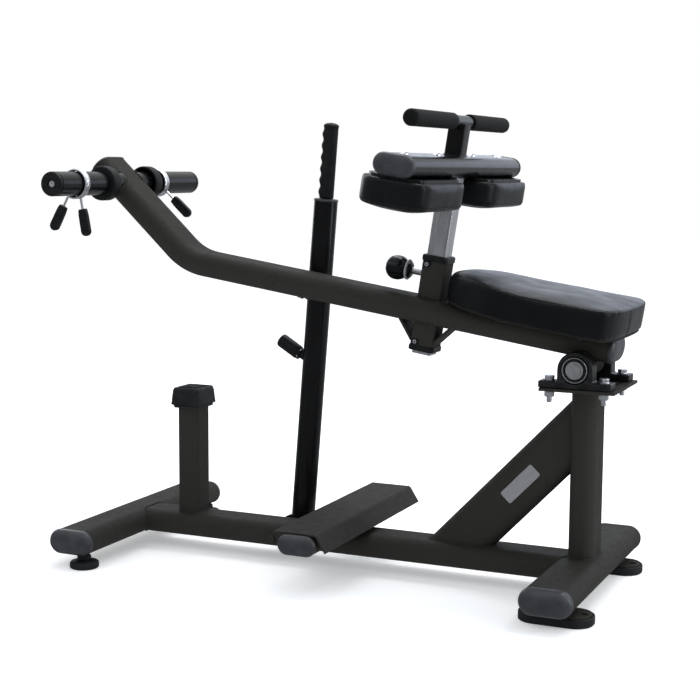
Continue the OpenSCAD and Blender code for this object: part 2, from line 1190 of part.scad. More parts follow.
main_rail();
front_foot_tube();
rear_foot_tube();
foot_end_caps();
rear_upright();
brace_tube();
badge_plate();
stop_post();
stop_bumper();
footrest_bar();
footrest_plate();
footrest_bar_caps();
bearing_plate();
bearing_housings();
bearing_bolts();
rear_foot_flanges();
rear_rubber_feet();
catch_pivot_bolt();
lever_tube();
lever_end_caps();
pivot_hub();
pivot_shaft();
bearing_inner_rings();
post_socket();
post_bushings();
button_screws();
socket_gussets();
pin_housing();
weight_sleeves();
weight_flanges();
sleeve_end_caps();
catch_pin();
seat_straps();
seat_bolts();
seat_board();
seat_cushion();
pad_post();
pad_crossbar();
crossbar_caps();
pad_bolts();
knee_boards();
knee_cushion_left();
knee_cushion_right();
handle_post();
handle_bar();
handle_grips();
pull_pin_rod();
pull_pin_knob();
catch_tube();
catch_tube_cap();
catch_rod();
catch_grip();
catch_peg_covers();
collar_spring_left();
collar_handles_left();
collar_spring_right();
collar_handles_right();
levelling_foot_left();
levelling_foot_right();
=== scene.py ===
"""Looks of a plate-loaded seated calf raise machine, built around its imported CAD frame.

Lengths are in metres and MM is one millimetre. A piece is made in the local axes of what it
sits on, read from the frame, and is placed by that thing's matrix.
"""

import json
from math import atan2, cos, exp, hypot, pi, radians, sin, sqrt, tan

import bmesh
import bpy
from mathutils import Matrix, Vector
from mathutils.bvhtree import BVHTree
from mathutils.kdtree import KDTree


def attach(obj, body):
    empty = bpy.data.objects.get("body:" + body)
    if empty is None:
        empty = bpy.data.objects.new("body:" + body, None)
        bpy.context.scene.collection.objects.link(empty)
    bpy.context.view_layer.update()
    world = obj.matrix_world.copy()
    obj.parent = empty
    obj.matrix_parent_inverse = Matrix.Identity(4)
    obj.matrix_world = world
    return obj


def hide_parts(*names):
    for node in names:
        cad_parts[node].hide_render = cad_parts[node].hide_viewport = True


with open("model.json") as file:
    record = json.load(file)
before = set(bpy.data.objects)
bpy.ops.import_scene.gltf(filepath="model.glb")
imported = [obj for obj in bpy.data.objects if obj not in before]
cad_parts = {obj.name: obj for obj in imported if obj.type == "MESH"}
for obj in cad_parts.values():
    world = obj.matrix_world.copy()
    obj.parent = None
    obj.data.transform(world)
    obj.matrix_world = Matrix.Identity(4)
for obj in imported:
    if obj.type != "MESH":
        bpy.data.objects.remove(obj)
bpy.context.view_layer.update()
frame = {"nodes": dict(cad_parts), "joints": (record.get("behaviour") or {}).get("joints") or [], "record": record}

MM = 0.001
JOINT = {j["name"]: j for j in frame["joints"]}
SLOT = {s["node"]: s["material_slot"] for s in frame["record"]["subparts"]}
X, Y, Z = Vector((1, 0, 0)), Vector((0, 1, 0)), Vector((0, 0, 1))

# angles that part.scad gives its own names
LEVER_BEND = radians(34.41)
CATCH_LEAN = radians(4.34)
PEG_SLOPE = radians(31.7)
BRACE_ANGLE = radians(46.38)
COLLAR_ARMS = {"left": (80, 119), "right": (42, 77)}

# width, depth and corner radius of sections that several pieces share
SQUARE = (50 * MM, 50 * MM, 5 * MM)
HANDLE_TUBE = (36 * MM, 36 * MM, 5 * MM)
FOOT_STEM = (60 * MM, 50 * MM, 8 * MM)
PIVOT_BOLT_ACROSS = 17 * MM
LEVELLING_NUT_ACROSS = 25 * MM
BEAD = 2.6 * MM
REAR_SLOT_REACH = 52 * MM


# ---- camera, lights and floor ----

def aim(azimuth, elevation, roll):
    """Rotation of a camera that looks along +Y at azimuth 0, turning towards -X."""
    az, el, ro = radians(azimuth), radians(elevation), radians(roll)
    ahead = Vector((-sin(az) * cos(el), cos(az) * cos(el), -sin(el)))
    right = Vector((cos(az), sin(az), 0))
    up = right.cross(ahead)
    right_rolled = right * cos(ro) + up * sin(ro)
    up_rolled = up * cos(ro) - right * sin(ro)
    return Matrix((right_rolled, up_rolled, -ahead)).transposed().to_4x4()


def camera():
    data = bpy.data.cameras.new("camera")
    data.sensor_width = 36
    data.lens = 75.24
    data.clip_start, data.clip_end = 0.1, 60
    obj = bpy.data.objects.new("camera", data)
    obj.matrix_world = Matrix.Translation((0.7107, -2.7323, 0.8239)) @ aim(23.96, 7.09, 0.34)
    bpy.context.scene.collection.objects.link(obj)
    bpy.context.scene.camera = obj


def softbox(name, place, target, size, power, colour=(1, 1, 1)):
    data = bpy.data.lights.new(name, "AREA")
    data.shape = "RECTANGLE"
    data.size, data.size_y = size
    data.energy = power
    data.color = colour
    obj = bpy.data.objects.new(name, data)
    obj.location = place
    obj.rotation_euler = (Vector(target) - Vector(place)).to_track_quat("-Z", "Y").to_euler()
    obj.visible_camera = False
    bpy.context.scene.collection.objects.link(obj)


def remap(tree, value, *numbers):
    """Map Range node; the numbers are its from-min, from-max, to-min and to-max."""
    ranged = tree.nodes.new("ShaderNodeMapRange")
    for key, number in zip(("From Min", "From Max", "To Min", "To Max"), numbers):
        ranged.inputs[key].default_value = number
    tree.links.new(value, ranged.inputs["Value"])
    return ranged


def studio_world():
    """Backdrop of white, and a softly lit room that is brighter overhead for the reflections."""
    world = bpy.data.worlds.new("studio")
    world.use_nodes = True
    tree = world.node_tree
    way = tree.nodes.new("ShaderNodeTexCoord")
    split = tree.nodes.new("ShaderNodeSeparateXYZ")
    tree.links.new(way.outputs["Generated"], split.inputs[0])
    total = tree.nodes.new("ShaderNodeMath")
    overhead, behind = ("Z", 0.05, 0.75, 0.26, 1.0), ("Y", 0.0, 1.0, 0.0, 0.2)
    for i, (axis, *numbers) in enumerate((overhead, behind)):
        ranged = remap(tree, split.outputs[axis], *numbers)
        ranged.interpolation_type = "SMOOTHSTEP"
        tree.links.new(ranged.outputs["Result"], total.inputs[i])
    room = tree.nodes.new("ShaderNodeVectorMath")
    room.operation = "MULTIPLY"
    room.inputs[0].default_value = (0.93, 0.965, 1.0)
    tree.links.new(total.outputs[0], room.inputs[1])
    seen = tree.nodes.new("ShaderNodeLightPath")
    mix = tree.nodes.new("ShaderNodeMix")
    mix.data_type = "RGBA"
    mix.inputs["B"].default_value = (1, 1, 1, 1)
    tree.links.new(seen.outputs["Is Camera Ray"], mix.inputs["Factor"])
    tree.links.new(room.outputs[0], mix.inputs["A"])
    tree.links.new(mix.outputs["Result"], tree.nodes["Background"].inputs["Color"])
    return world


def studio():
    scene = bpy.context.scene
    scene.view_settings.view_transform = "Standard"
    scene.world = studio_world()
    middle = (-0.5, 0, 0.45)
    softbox("overhead", (-0.2, 0.9, 3.0), middle, (3.4, 0.9), 54, (0.97, 0.985, 1))
    softbox("right_side", (2.9, 0.6, 1.2), middle, (1.0, 2.4), 34, (0.9, 0.95, 1))
    softbox("left_back", (-3.2, 2.0, 1.5), middle, (0.8, 2.0), 14, (0.95, 0.98, 1))
    softbox("low_back", (0.2, 4.6, 1.5), (-0.3, 0, 0.6), (5.0, 1.5), 24, (0.72, 0.8, 1))
    mesh = bpy.data.meshes.new("floor")
    half = 14
    mesh.from_pydata([(-half, -half, 0), (half, -half, 0), (half, half, 0), (-half, half, 0)],
                     [], [(0, 1, 2, 3)])
    floor = bpy.data.objects.new("floor", mesh)
    scene.collection.objects.link(floor)
    paper = bpy.data.materials.new("floor_paper")
    paper.use_nodes = True
    skin = paper.node_tree.nodes["Principled BSDF"]
    skin.inputs["Base Color"].default_value = (0.93, 0.93, 0.93, 1)
    skin.inputs["Emission Color"].default_value = (1, 1, 1, 1)
    skin.inputs["Emission Strength"].default_value = 0.3
    skin.inputs["Roughness"].default_value = 0.9
    skin.inputs["Specular IOR Level"].default_value = 0.1
    mesh.materials.append(paper)
    floor.visible_glossy = False


# ---- materials ----

class Look:
    """One procedural material: a principled shader with textures added a layer at a time."""

    def __init__(self, name, colour, rough, metal=0.0, spec=0.5, coat=0.0, coat_rough=0.1):
        self.material = bpy.data.materials.new(name)
        self.material.use_nodes = True
        self.tree = self.material.node_tree
        self.skin = self.tree.nodes["Principled BSDF"]
        self.colour, self.rough = colour, rough
        self.set("Base Color", (*colour, 1))
        self.set("Roughness", rough)
        self.set("Metallic", metal)
        self.set("Specular IOR Level", spec)
        self.set("Coat Weight", coat)
        self.set("Coat Roughness", coat_rough)
        self.place = self.tree.nodes.new("ShaderNodeTexCoord").outputs["Object"]
        self.normal = None

    def set(self, socket, value):
        self.skin.inputs[socket].default_value = value

    def node(self, kind, **values):
        made = self.tree.nodes.new(kind)
        for key, value in values.items():
            setattr(made, key, value)
        return made

    def link(self, source, target):
        self.tree.links.new(source, target)

    def coordinates(self, stretch=None, turn=(0, 0, 0)):
        """Object coordinates, turned and then scaled along the turned axes."""
        if stretch is None:
            return self.place
        turned = self.node("ShaderNodeMapping", vector_type="POINT")
        turned.inputs["Rotation"].default_value = turn
        self.link(self.place, turned.inputs["Vector"])
        scaled = self.node("ShaderNodeMapping", vector_type="POINT")
        scaled.inputs["Scale"].default_value = stretch
        self.link(turned.outputs[0], scaled.inputs["Vector"])
        return scaled.outputs[0]

    def noise(self, scale, detail=2.0, stretch=None, turn=(0, 0, 0)):
        texture = self.node("ShaderNodeTexNoise")
        texture.inputs["Scale"].default_value = scale
        texture.inputs["Detail"].default_value = detail
        self.link(self.coordinates(stretch, turn), texture.inputs["Vector"])
        return texture.outputs["Fac"]

    def cells(self, scale):
        texture = self.node("ShaderNodeTexVoronoi", feature="DISTANCE_TO_EDGE")
        texture.inputs["Scale"].default_value = scale
        self.link(self.place, texture.inputs["Vector"])
        return texture.outputs["Distance"]

    def spread(self, value, low, high, to_low, to_high):
        return remap(self.tree, value, low, high, to_low, to_high).outputs["Result"]

    def tint(self, value, other, low=0.35, high=0.65):
        """Mixes towards another colour where the value is high."""
        mix = self.node("ShaderNodeMix", data_type="RGBA")
        mix.inputs["A"].default_value = (*self.colour, 1)
        mix.inputs["B"].default_value = (*other, 1)
        self.link(self.spread(value, low, high, 0, 1), mix.inputs["Factor"])
        current = self.skin.inputs["Base Color"]
        if current.is_linked:
            self.link(current.links[0].from_socket, mix.inputs["A"])
        self.link(mix.outputs["Result"], current)
        return self

    def roughen(self, value, low, high):
        self.link(self.spread(value, 0.3, 0.7, low, high), self.skin.inputs["Roughness"])
        return self

    def bump(self, value, height, strength=1.0):
        made = self.node("ShaderNodeBump")
        made.inputs["Strength"].default_value = strength
        made.inputs["Distance"].default_value = height
        self.link(value, made.inputs["Height"])
        if self.normal is not None:
            self.link(self.normal, made.inputs["Normal"])
        self.normal = made.outputs["Normal"]
        self.link(self.normal, self.skin.inputs["Normal"])
        return self


def frame_paint():
    """Fine-textured anthracite powder coat."""
    look = Look("frame_paint", (0.0248, 0.0235, 0.0208), 0.66, spec=0.07)
    look.tint(look.noise(520, 3), (0.031, 0.0295, 0.0262))
    look.roughen(look.noise(60, 3), 0.58, 0.7)
    return look.bump(look.noise(900, 2), 0.3 * MM, 0.3)


def gloss_paint():
    """Smooth black paint with faint orange peel."""
    look = Look("gloss_paint", (0.003, 0.0031, 0.0035), 0.22, spec=0.2, coat=0.06, coat_rough=0.12)
    look.tint(look.noise(14, 3), (0.0044, 0.0046, 0.0051))
    look.roughen(look.noise(35, 4), 0.21, 0.28)
    return look.bump(look.noise(22, 1), 0.1 * MM, 0.06)


def end_cap_plastic():
    look = Look("end_cap_plastic", (0.022, 0.0235, 0.028), 0.38, spec=0.5)
    look.tint(look.noise(45, 4), (0.034, 0.036, 0.042))
    look.roughen(look.noise(120, 4), 0.34, 0.5)
    return look.bump(look.noise(700, 2), 0.15 * MM, 0.25)


def black_plastic():
    look = Look("black_plastic", (0.0062, 0.0065, 0.0072), 0.38, spec=0.16)
    look.tint(look.noise(70, 3), (0.0105, 0.011, 0.012))
    look.roughen(look.noise(120, 3), 0.34, 0.48)
    return look.bump(look.noise(1400, 2), 0.12 * MM, 0.25)


def foot_rubber():
    look = Look("foot_rubber", (0.009, 0.0096, 0.0102), 0.5, spec=0.16)
    look.tint(look.noise(45, 4), (0.0145, 0.0154, 0.0165))
    look.roughen(look.noise(80, 3), 0.46, 0.64)
    return look.bump(look.noise(1000, 3), 0.3 * MM, 0.5)


def grip_foam():
    look = Look("grip_foam", (0.0052, 0.0054, 0.0056), 0.75, spec=0.07)
    look.set("Sheen Weight", 0.02)
    look.tint(look.noise(700, 2), (0.0105, 0.0108, 0.011))
    return look.bump(look.cells(1300), 0.4 * MM, 0.55)


def leatherette():
    """Glossy upholstery with a fine pebble grain."""
    look = Look("leatherette", (0.0036, 0.0041, 0.0048), 0.33, spec=0.11, coat=0.04, coat_rough=0.2)
    look.tint(look.noise(9, 3), (0.0058, 0.0065, 0.0076))
    look.roughen(look.noise(25, 3), 0.3, 0.4)
    look.bump(look.cells(950), 0.12 * MM, 0.15)
    return look.bump(look.noise(40, 2), 0.4 * MM, 0.07)


def seat_plywood():
    look = Look("seat_plywood", (0.0085, 0.0082, 0.0078), 0.7, spec=0.2)
    look.tint(look.noise(40, 4, stretch=(1, 6, 30)), (0.0135, 0.0125, 0.0115))
    return look.bump(look.noise(160, 3, stretch=(0.2, 1, 1)), 0.4 * MM, 0.5)


def zinc_steel():
    look = Look("zinc_steel", (0.66, 0.67, 0.7), 0.34, metal=1.0)
    look.tint(look.noise(220, 3), (0.8, 0.81, 0.83))
    look.roughen(look.noise(300, 4), 0.22, 0.42)
    return look.bump(look.noise(800, 2), 0.1 * MM, 0.3)


def brushed_post():
    """Bright steel brushed along the post."""
    slope = atan2(UP.x, UP.z)
    look = Look("brushed_post", (0.4, 0.403, 0.42), 0.34, metal=1.0)
    streaks = look.noise(60, 4, stretch=(8, 8, 0.35), turn=(0, -slope, 0))
    look.tint(streaks, (0.72, 0.725, 0.745), 0.3, 0.7)
    look.roughen(look.noise(90, 3, stretch=(6, 6, 0.3), turn=(0, -slope, 0)), 0.26, 0.48)
    return look.bump(streaks, 0.12 * MM, 0.4)


def bright_chrome():
    look = Look("bright_chrome", (0.78, 0.79, 0.81), 0.24, metal=1.0)
    look.tint(look.noise(160, 3), (0.86, 0.87, 0.89))
    look.roughen(look.noise(120, 4), 0.18, 0.3)
    return look.bump(look.noise(300, 2), 0.05 * MM, 0.2)


def badge_metal():
    look = Look("badge_metal", (0.62, 0.622, 0.63), 0.46, metal=1.0)
    streaks = look.noise(70, 4, stretch=(0.4, 4, 9), turn=(0, BRACE_ANGLE, 0))
    look.tint(streaks, (0.75, 0.753, 0.762))
    return look.bump(streaks, 0.06 * MM, 0.4)


def shaft_steel():
    """Ground steel of the shaft and the bearing rings."""
    look = Look("shaft_steel", (0.48, 0.484, 0.5), 0.38, metal=1.0)
    look.tint(look.noise(120, 4), (0.62, 0.624, 0.64))
    look.roughen(look.noise(200, 4), 0.3, 0.46)
    return look.bump(look.noise(500, 2), 0.08 * MM, 0.25)


def pale_plastic():
    look = Look("pale_plastic", (0.2, 0.205, 0.22), 0.45, spec=0.4)
    look.tint(look.noise(200, 3), (0.25, 0.255, 0.27))
    return look.bump(look.noise(1200, 2), 0.15 * MM, 0.4)


def soft_rubber():
    look = Look("soft_rubber", (0.0066, 0.0068, 0.0073), 0.5, spec=0.16)
    look.tint(look.noise(60, 3), (0.0105, 0.0108, 0.0113))
    look.roughen(look.noise(90, 3), 0.46, 0.62)
    return look.bump(look.noise(1500, 2), 0.2 * MM, 0.45)


def cast_black():
    look = Look("cast_black", (0.0058, 0.006, 0.0066), 0.33, spec=0.22)
    look.tint(look.noise(60, 4), (0.014, 0.0143, 0.015))
    look.roughen(look.noise(110, 4), 0.28, 0.46)
    return look.bump(look.noise(420, 4), 0.5 * MM, 0.5)


def thread():
    look = Look("thread", (0.008, 0.0085, 0.0095), 0.75, spec=0.12)
    look.tint(look.noise(900, 2), (0.013, 0.0138, 0.015))
    return look.bump(look.noise(2600, 2), 0.15 * MM, 0.6)


def seam_fold():
    look = Look("seam_fold", (0.005, 0.0052, 0.0056), 0.5, spec=0.3)
    look.tint(look.noise(500, 2), (0.008, 0.0083, 0.009))
    return look.bump(look.noise(1200, 2), 0.15 * MM, 0.4)


UP = Vector(JOINT["pad_post_slide"]["axis"]).normalized()
ALONG = Vector((UP.z, 0, -UP.x))
LOOKS = {make.__name__: make().material for make in (
    frame_paint, gloss_paint, end_cap_plastic, black_plastic, foot_rubber, grip_foam,
    leatherette, seat_plywood, zinc_steel, brushed_post, bright_chrome, badge_metal,
    pale_plastic, shaft_steel, soft_rubber, cast_black, thread, seam_fold)}


# ---- places read from the frame ----

def axes(x, z, origin=(0, 0, 0)):
    """Matrix of local axes whose X and Z run along the given directions."""
    x, z = Vector(x).normalized(), Vector(z).normalized()
    made = Matrix((x, z.cross(x), z)).transposed().to_4x4()
    made.translation = origin
    return made


def corners(points):
    low = Vector(min(p[i] for p in points) for i in range(3))
    high = Vector(max(p[i] for p in points) for i in range(3))
    return low, high


def points_of(node, place=Matrix()):
    back = place.inverted()
    return [back @ v.co for v in frame["nodes"][node].data.vertices]


def span(node, place=Matrix()):
    """Lowest and highest corner of a CAD node in some local axes."""
    return corners(points_of(node, place))


def tube_end(node, out, wide):
    """Axes at the middle of a tube's end, Z outwards, and the tube's width and depth there."""
    place = axes(wide, out)
    points = points_of(node, place)
    far = max(p.z for p in points)
    low, high = corners([p for p in points if p.z > far - 0.5 * MM])
    place.translation = place @ Vector(((low.x + high.x) / 2, (low.y + high.y) / 2, far))
    return place, high.x - low.x, high.y - low.y


LEVER = axes(ALONG, UP)
TURN = Matrix.Rotation(LEVER_BEND, 3, "Y")


# ---- mesh building ----

class Shape:
    """Vertices and faces of one piece, gathered from lofts and lathes."""

    def __init__(self):
        self.verts, self.faces = [], []

    def loft(self, rings, place=Matrix(), ends=(True, True), closed=False):
        """Joins rings of equal length with quads, and closes the two ends."""
        base, count = len(self.verts), len(rings[0])
        for ring in rings:
            self.verts += [place @ Vector(p) for p in ring]
        pairs = [(k, k + 1) for k in range(len(rings) - 1)]
        if closed:
            pairs.append((len(rings) - 1, 0))
        for a, b in pairs:
            for i in range(count):
                j = (i + 1) % count
                self.faces.append((base + a * count + i, base + a * count + j,
                                   base + b * count + j, base + b * count + i))
        if not closed and ends[0]:
            self.faces.append(tuple(base + i for i in reversed(range(count))))
        if not closed and ends[1]:
            last = base + (len(rings) - 1) * count
            self.faces.append(tuple(last + i for i in range(count)))
        return self

    def lathe(self, profile, place=Matrix(), steps=48, closed=False):
        """Turns a profile of (radius, height) about local Z."""
        rings = [level(circle(r, steps), z) for r, z in profile]
        return self.loft(rings, place, closed=closed)

    def tube(self, path, radius, sides=10, closed=False):
        """Sweeps a circle along a path; radius is a number or a function of the index."""
        rings = []
        side = None
        for i, p in enumerate(path):
            if closed:
                ahead = path[(i + 1) % len(path)] - path[i - 1]
            else:
                ahead = path[min(i + 1, len(path) - 1)] - path[max(i - 1, 0)]
            ahead.normalize()
            if side is None:
                side = ahead.orthogonal().normalized()
            side = (side - ahead * side.dot(ahead)).normalized()
            across = ahead.cross(side)
            r = radius(i) if callable(radius) else radius
            rings.append([p + side * (r * cos(2 * pi * k / sides))
                          + across * (r * sin(2 * pi * k / sides)) for k in range(sides)])
        if closed:
            rings = untwisted(rings)
        return self.loft(rings, closed=closed)


def untwisted(rings):
    """Turns each ring a little, so that the last one meets the first without a jump."""
    first, last = rings[0], rings[-1]
    count = len(first)
    shift = min(range(count), key=lambda s: sum(
        (first[i] - last[(i + s) % count]).length for i in range(0, count, 2)))
    made = []
    for k, ring in enumerate(rings):
        move = shift * k / (len(rings) - 1)
        whole, part = int(move), move - int(move)
        made.append([ring[(i + whole) % count].lerp(ring[(i + whole + 1) % count], part)
                     for i in range(count)])
    return made


def level(outline, z):
    return [(x, y, z) for x, y in outline]


def circle(r, steps=48):
    return [(r * cos(2 * pi * k / steps), r * sin(2 * pi * k / steps)) for k in range(steps)]


def rounded(w, d, r, steps=8):
    """Rectangle w by d about the middle, its corners rounded to r."""
    r = min(r, w / 2 - 1e-6, d / 2 - 1e-6)
    made = []
    for quarter, (sx, sy) in enumerate([(1, 1), (-1, 1), (-1, -1), (1, -1)]):
        for k in range(steps + 1):
            a = (quarter + k / steps) * pi / 2
            made.append((sx * (w / 2 - r) + r * cos(a), sy * (d / 2 - r) + r * sin(a)))
    return made


def mm(*pairs):
    """Points given in millimetres."""
    return [(a * MM, b * MM) for a, b in pairs]


def rim(r, z, *pairs):
    """Profile points given in millimetres inside radius r and above height z."""
    return [(r - a * MM, z + b * MM) for a, b in pairs]


def quarter(steps):
    """How far a quarter round lies inside its side and short of its end, per unit radius."""
    return [(1 - cos(a), 1 - sin(a)) for a in (k / steps * pi / 2 for k in range(steps + 1))]


def oval(w, d, steps=12):
    return rounded(w, d, min(w, d) / 2, steps)


def hexagon(across, limit, steps=8):
    """Hexagon of that width across its flats, cut by a circle of radius limit."""
    made = []
    for k in range(6 * steps):
        a = 2 * pi * k / (6 * steps)
        fold = (a + pi / 6) % (pi / 3) - pi / 6
        r = min(across / 2 / cos(fold), limit)
        made.append((r * cos(a), r * sin(a)))
    return made


def hollow(outer, inner, low, high, edge=0.4 * MM):
    """Rings of a tube with small rounded rims; outer and inner take an inset."""
    return [level(inner(-edge), low), level(outer(edge), low), level(outer(0), low + edge),
            level(outer(0), high - edge), level(outer(edge), high), level(inner(-edge), high),
            level(inner(0), high - edge), level(inner(0), low + edge)]


def scratch(name, shape):
    """Makes an object of a shape, its faces turned outwards."""
    mesh = bpy.data.meshes.new(name)
    mesh.from_pydata([tuple(v) for v in shape.verts], [], shape.faces)
    work = bmesh.new()
    work.from_mesh(mesh)
    bmesh.ops.recalc_face_normals(work, faces=work.faces)
    work.to_mesh(mesh)
    work.free()
    obj = bpy.data.objects.new(name, mesh)
    bpy.context.scene.collection.objects.link(obj)
    return obj


def piece(name, shape, body, slot, look=None, replaces=(), sharp=32):
    """Makes one object of a shape and dresses it."""
    return dress(scratch(name, shape), body, slot, look, replaces, sharp)


def dress(obj, body, slot, look=None, replaces=(), sharp=32):
    """Gives an object its material, rides it on its body and hides the CAD parts it replaces."""
    obj.data.materials.clear()
    obj.data.materials.append(LOOKS[look or slot])
    obj.data.shade_smooth()
    obj.data.set_sharp_from_angle(angle=radians(sharp))
    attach(obj, body)
    if replaces:
        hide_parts(*replaces)
    return obj


def bake(obj):
    """Applies the modifiers of an object to its mesh."""
    bpy.context.view_layer.update()
    ready = obj.evaluated_get(bpy.context.evaluated_depsgraph_get())
    mesh = bpy.data.meshes.new_from_object(ready)
    obj.modifiers.clear()
    obj.data = mesh
    return obj


def cut_out(obj, tool_shape):
    """Cuts a shape out of an object, and removes the helper."""
    tool = scratch(obj.name + "_tool", tool_shape)
    step = obj.modifiers.new("combine", "BOOLEAN")
    step.operation = "DIFFERENCE"
    step.solver = "EXACT"
    step.object = tool
    bake(obj)
    bpy.data.objects.remove(tool)


# ---- local axes of the sloping parts ----

def lever_origin():
    """Where the pad post crosses the middle of the lever."""
    post, pin = span("pad_post", LEVER), span("catch_pin", LEVER)
    return LEVER @ Vector(((post[0].x + post[1].x) / 2, 0, (pin[0].z + pin[1].z) / 2))


LEVER.translation = lever_origin()
CATCH = axes((cos(CATCH_LEAN), 0, -sin(CATCH_LEAN)), (sin(CATCH_LEAN), 0, cos(CATCH_LEAN)),
             JOINT["catch_pivot"]["pos_m"])
ROD = span("catch_rod", CATCH)
CATCH_TUBE = CATCH @ Matrix.Translation(((ROD[0].x + ROD[1].x) / 2, 0, 0))


def inset(outline, d):
    """Moves each point of a counterclockwise outline inwards by d."""
    made, count = [], len(outline)
    for i, (x, y) in enumerate(outline):
        px, py = outline[i - 1]
        nx, ny = outline[(i + 1) % count]
        tx, ty = nx - px, ny - py
        size = hypot(tx, ty) or 1
        made.append((x - d * ty / size, y + d * tx / size))
    return made


def slab(outline, low, high, edge, place=Matrix(), shape=None):
    """Plate of that outline with rounded edges."""
    rings = [level(inset(outline, edge * v), low + edge * u) for u, v in quarter(3)]
    rings += [level(inset(outline, edge * u), high - edge * v) for u, v in quarter(3)]
    return (shape or Shape()).loft(rings, place)


# ---- end caps ----

def cap_shape(shape, tube, node, out, wide, grow):
    """Pillow-shaped cap on the end of an oval tube."""
    place, w, d = tube_end(tube, out, wide)
    length = max(p.z for p in points_of(node, place))
    w, d = w + 2 * grow, d + 2 * grow
    straight = length * 0.16
    rings = [level(oval(w - 2 * grow, d - 2 * grow), 0), level(oval(w, d), 0.7 * MM)]
    steps = 18
    for k in range(steps + 1):
        f = (k / steps) ** 1.7 * 0.985
        i = d / 2 * f
        rise = (1 - (1 - f) ** 2.5) ** (1 / 2.1)
        rings.append(level(oval(w - 2 * i, d - 2 * i), straight + (length - straight) * rise))
    return shape.loft(rings, place)


def end_caps():
    for name, body, node, caps in (
            ("foot_end_caps_domed", "frame", "foot_end_caps",
             [(tube, Y * side, X * side, MM) for side in (-1, 1)
              for tube in ("front_foot_tube", "rear_foot_tube")]),
            ("footrest_caps_domed", "frame", "footrest_bar_caps",
             [("footrest_bar", Y * side, X * side, 0.6 * MM) for side in (-1, 1)]),
            ("crossbar_caps_domed", "knee_pad_carriage", "crossbar_caps",
             [("pad_crossbar", Y * side, ALONG * side, MM) for side in (-1, 1)]),
            ("lever_caps_domed", "lever", "lever_end_caps",
             [("lever_tube", ALONG, -Y, MM), ("lever_tube", -(TURN @ ALONG), Y, MM)])):
        shape = Shape()
        for tube, out, wide, grow in caps:
            cap_shape(shape, tube, node, out, wide, grow)
        piece(name, shape, body, "end_cap_plastic", replaces=[node])


# ---- stop post, footrest and badge ----

def stop():
    low, high = span("stop_post")
    rubber_low, rubber_high = span("stop_bumper")
    middle = Matrix.Translation(((low.x + high.x) / 2, 0, 0))
    under = high.z - 4 * MM
    shape = Shape().loft([level(rounded(*SQUARE), z) for z in (low.z, under)], middle)
    slab(rounded(high.x - low.x, high.y - low.y, 3 * MM), under, high.z, MM, middle, shape)
    piece("stop_post_rounded", shape, "frame", "frame_paint", replaces=["stop_post"])
    w, d = rubber_high.x - rubber_low.x + 3 * MM, rubber_high.y - rubber_low.y + 3 * MM
    base, top = rubber_low.z, rubber_high.z + 3 * MM
    floor = top - 5.5 * MM

    # inset, height and corner radius of each ring: base lip, tapered side, rounded top, recess
    rings = [level(rounded(w - 2 * i * MM, d - 2 * i * MM, r * MM), z) for i, z, r in (
        (4, base, 3), (3.6, base + 2.4 * MM, 3), (0.3, base + 3.2 * MM, 4),
        (0, base + 4.4 * MM, 4), (0.5, base + 8 * MM, 4), (2.6, top - 8 * MM, 4.5),
        (4, top - 2.4 * MM, 4.5), (5.2, top - 0.8 * MM, 4.5), (6.4, top, 4.5), (10, top, 4),
        (10.8, top - 0.5 * MM, 3.5), (11.2, floor, 3))]
    shape = Shape().loft(rings, middle)
    half = w / 2 - 12 * MM
    for k in range(-2, 3):
        rib = rounded(2 * half, 4.6 * MM, 1.8 * MM)
        place = middle @ Matrix.Translation((0, k * 9.6 * MM, 0))
        slab(rib, floor - MM, top + 1.6 * MM, 0.8 * MM, place, shape)
    piece("stop_bumper_moulded", shape, "frame", "foot_rubber", replaces=["stop_bumper"])


def bent_profile(points, radius, half, steps=6):
    """Outline of a sheet that follows points in its plane, its bends rounded."""
    path = [points[0]]
    for a, b, c in zip(points, points[1:], points[2:]):
        u, v = (a - b).normalized(), (c - b).normalized()
        turn = u.angle(v)
        back = radius / tan(turn / 2)
        start, end = b + u * back, b + v * back
        for k in range(steps + 1):
            f = k / steps
            path.append(start * (1 - f) ** 2 + b * (2 * f * (1 - f)) + end * f * f)
    path.append(points[-1])
    left, right = [], []
    for i, p in enumerate(path):
        ahead = (path[min(i + 1, len(path) - 1)] - path[max(i - 1, 0)]).normalized()
        across = Vector((-ahead.y, ahead.x))
        left.append(p + across * half)
        right.append(p - across * half)
    return [(p.x, p.y) for p in right + left[::-1]]


def footrest():
    """Tread on top of the bar, and a flange bent down towards the seat."""
    low, high = span("footrest_plate")
    half = 2 * MM
    dip, flange = radians(59), 39 * MM
    tread = high.z - half
    corner = high.x - (flange * cos(dip) + 4 * MM * sin(dip))
    points = [Vector((low.x + MM, tread)), Vector((corner + MM, tread)),
              Vector((high.x - half * sin(dip), tread - (flange - MM) * sin(dip)))]
    outline = bent_profile(points, 7 * MM, half)
    place = axes(X, -Y)
    rings = [level(inset(outline, 0.8 * MM), low.y), level(outline, low.y + 0.8 * MM),
             level(outline, high.y - 0.8 * MM), level(inset(outline, 0.8 * MM), high.y)]
    piece("footrest_plate_bent", Shape().loft(rings, place), "frame", "frame_paint",
          replaces=["footrest_plate"], sharp=40)


def badge():
    low, high = span("badge_plate")
    place = axes((cos(BRACE_ANGLE), 0, sin(BRACE_ANGLE)), -Y,
                 ((low.x + high.x) / 2, high.y, (low.z + high.z) / 2))
    flat = [place.inverted() @ p for p in points_of("badge_plate")]
    a, b = corners(flat)
    w, d, t = b.x - a.x, b.y - a.y, b.z - a.z
    outline = rounded(w, d, 4 * MM)
    edge = 0.35 * MM
    rings = [level(outline, 0), level(outline, t - edge), level(inset(outline, edge), t),
             level(inset(outline, 1.4 * MM), t), level(inset(outline, 1.7 * MM), t - 0.4 * MM)]
    piece("badge_plate_blank", Shape().loft(rings, place), "frame", "badge_metal",
          replaces=["badge_plate"])


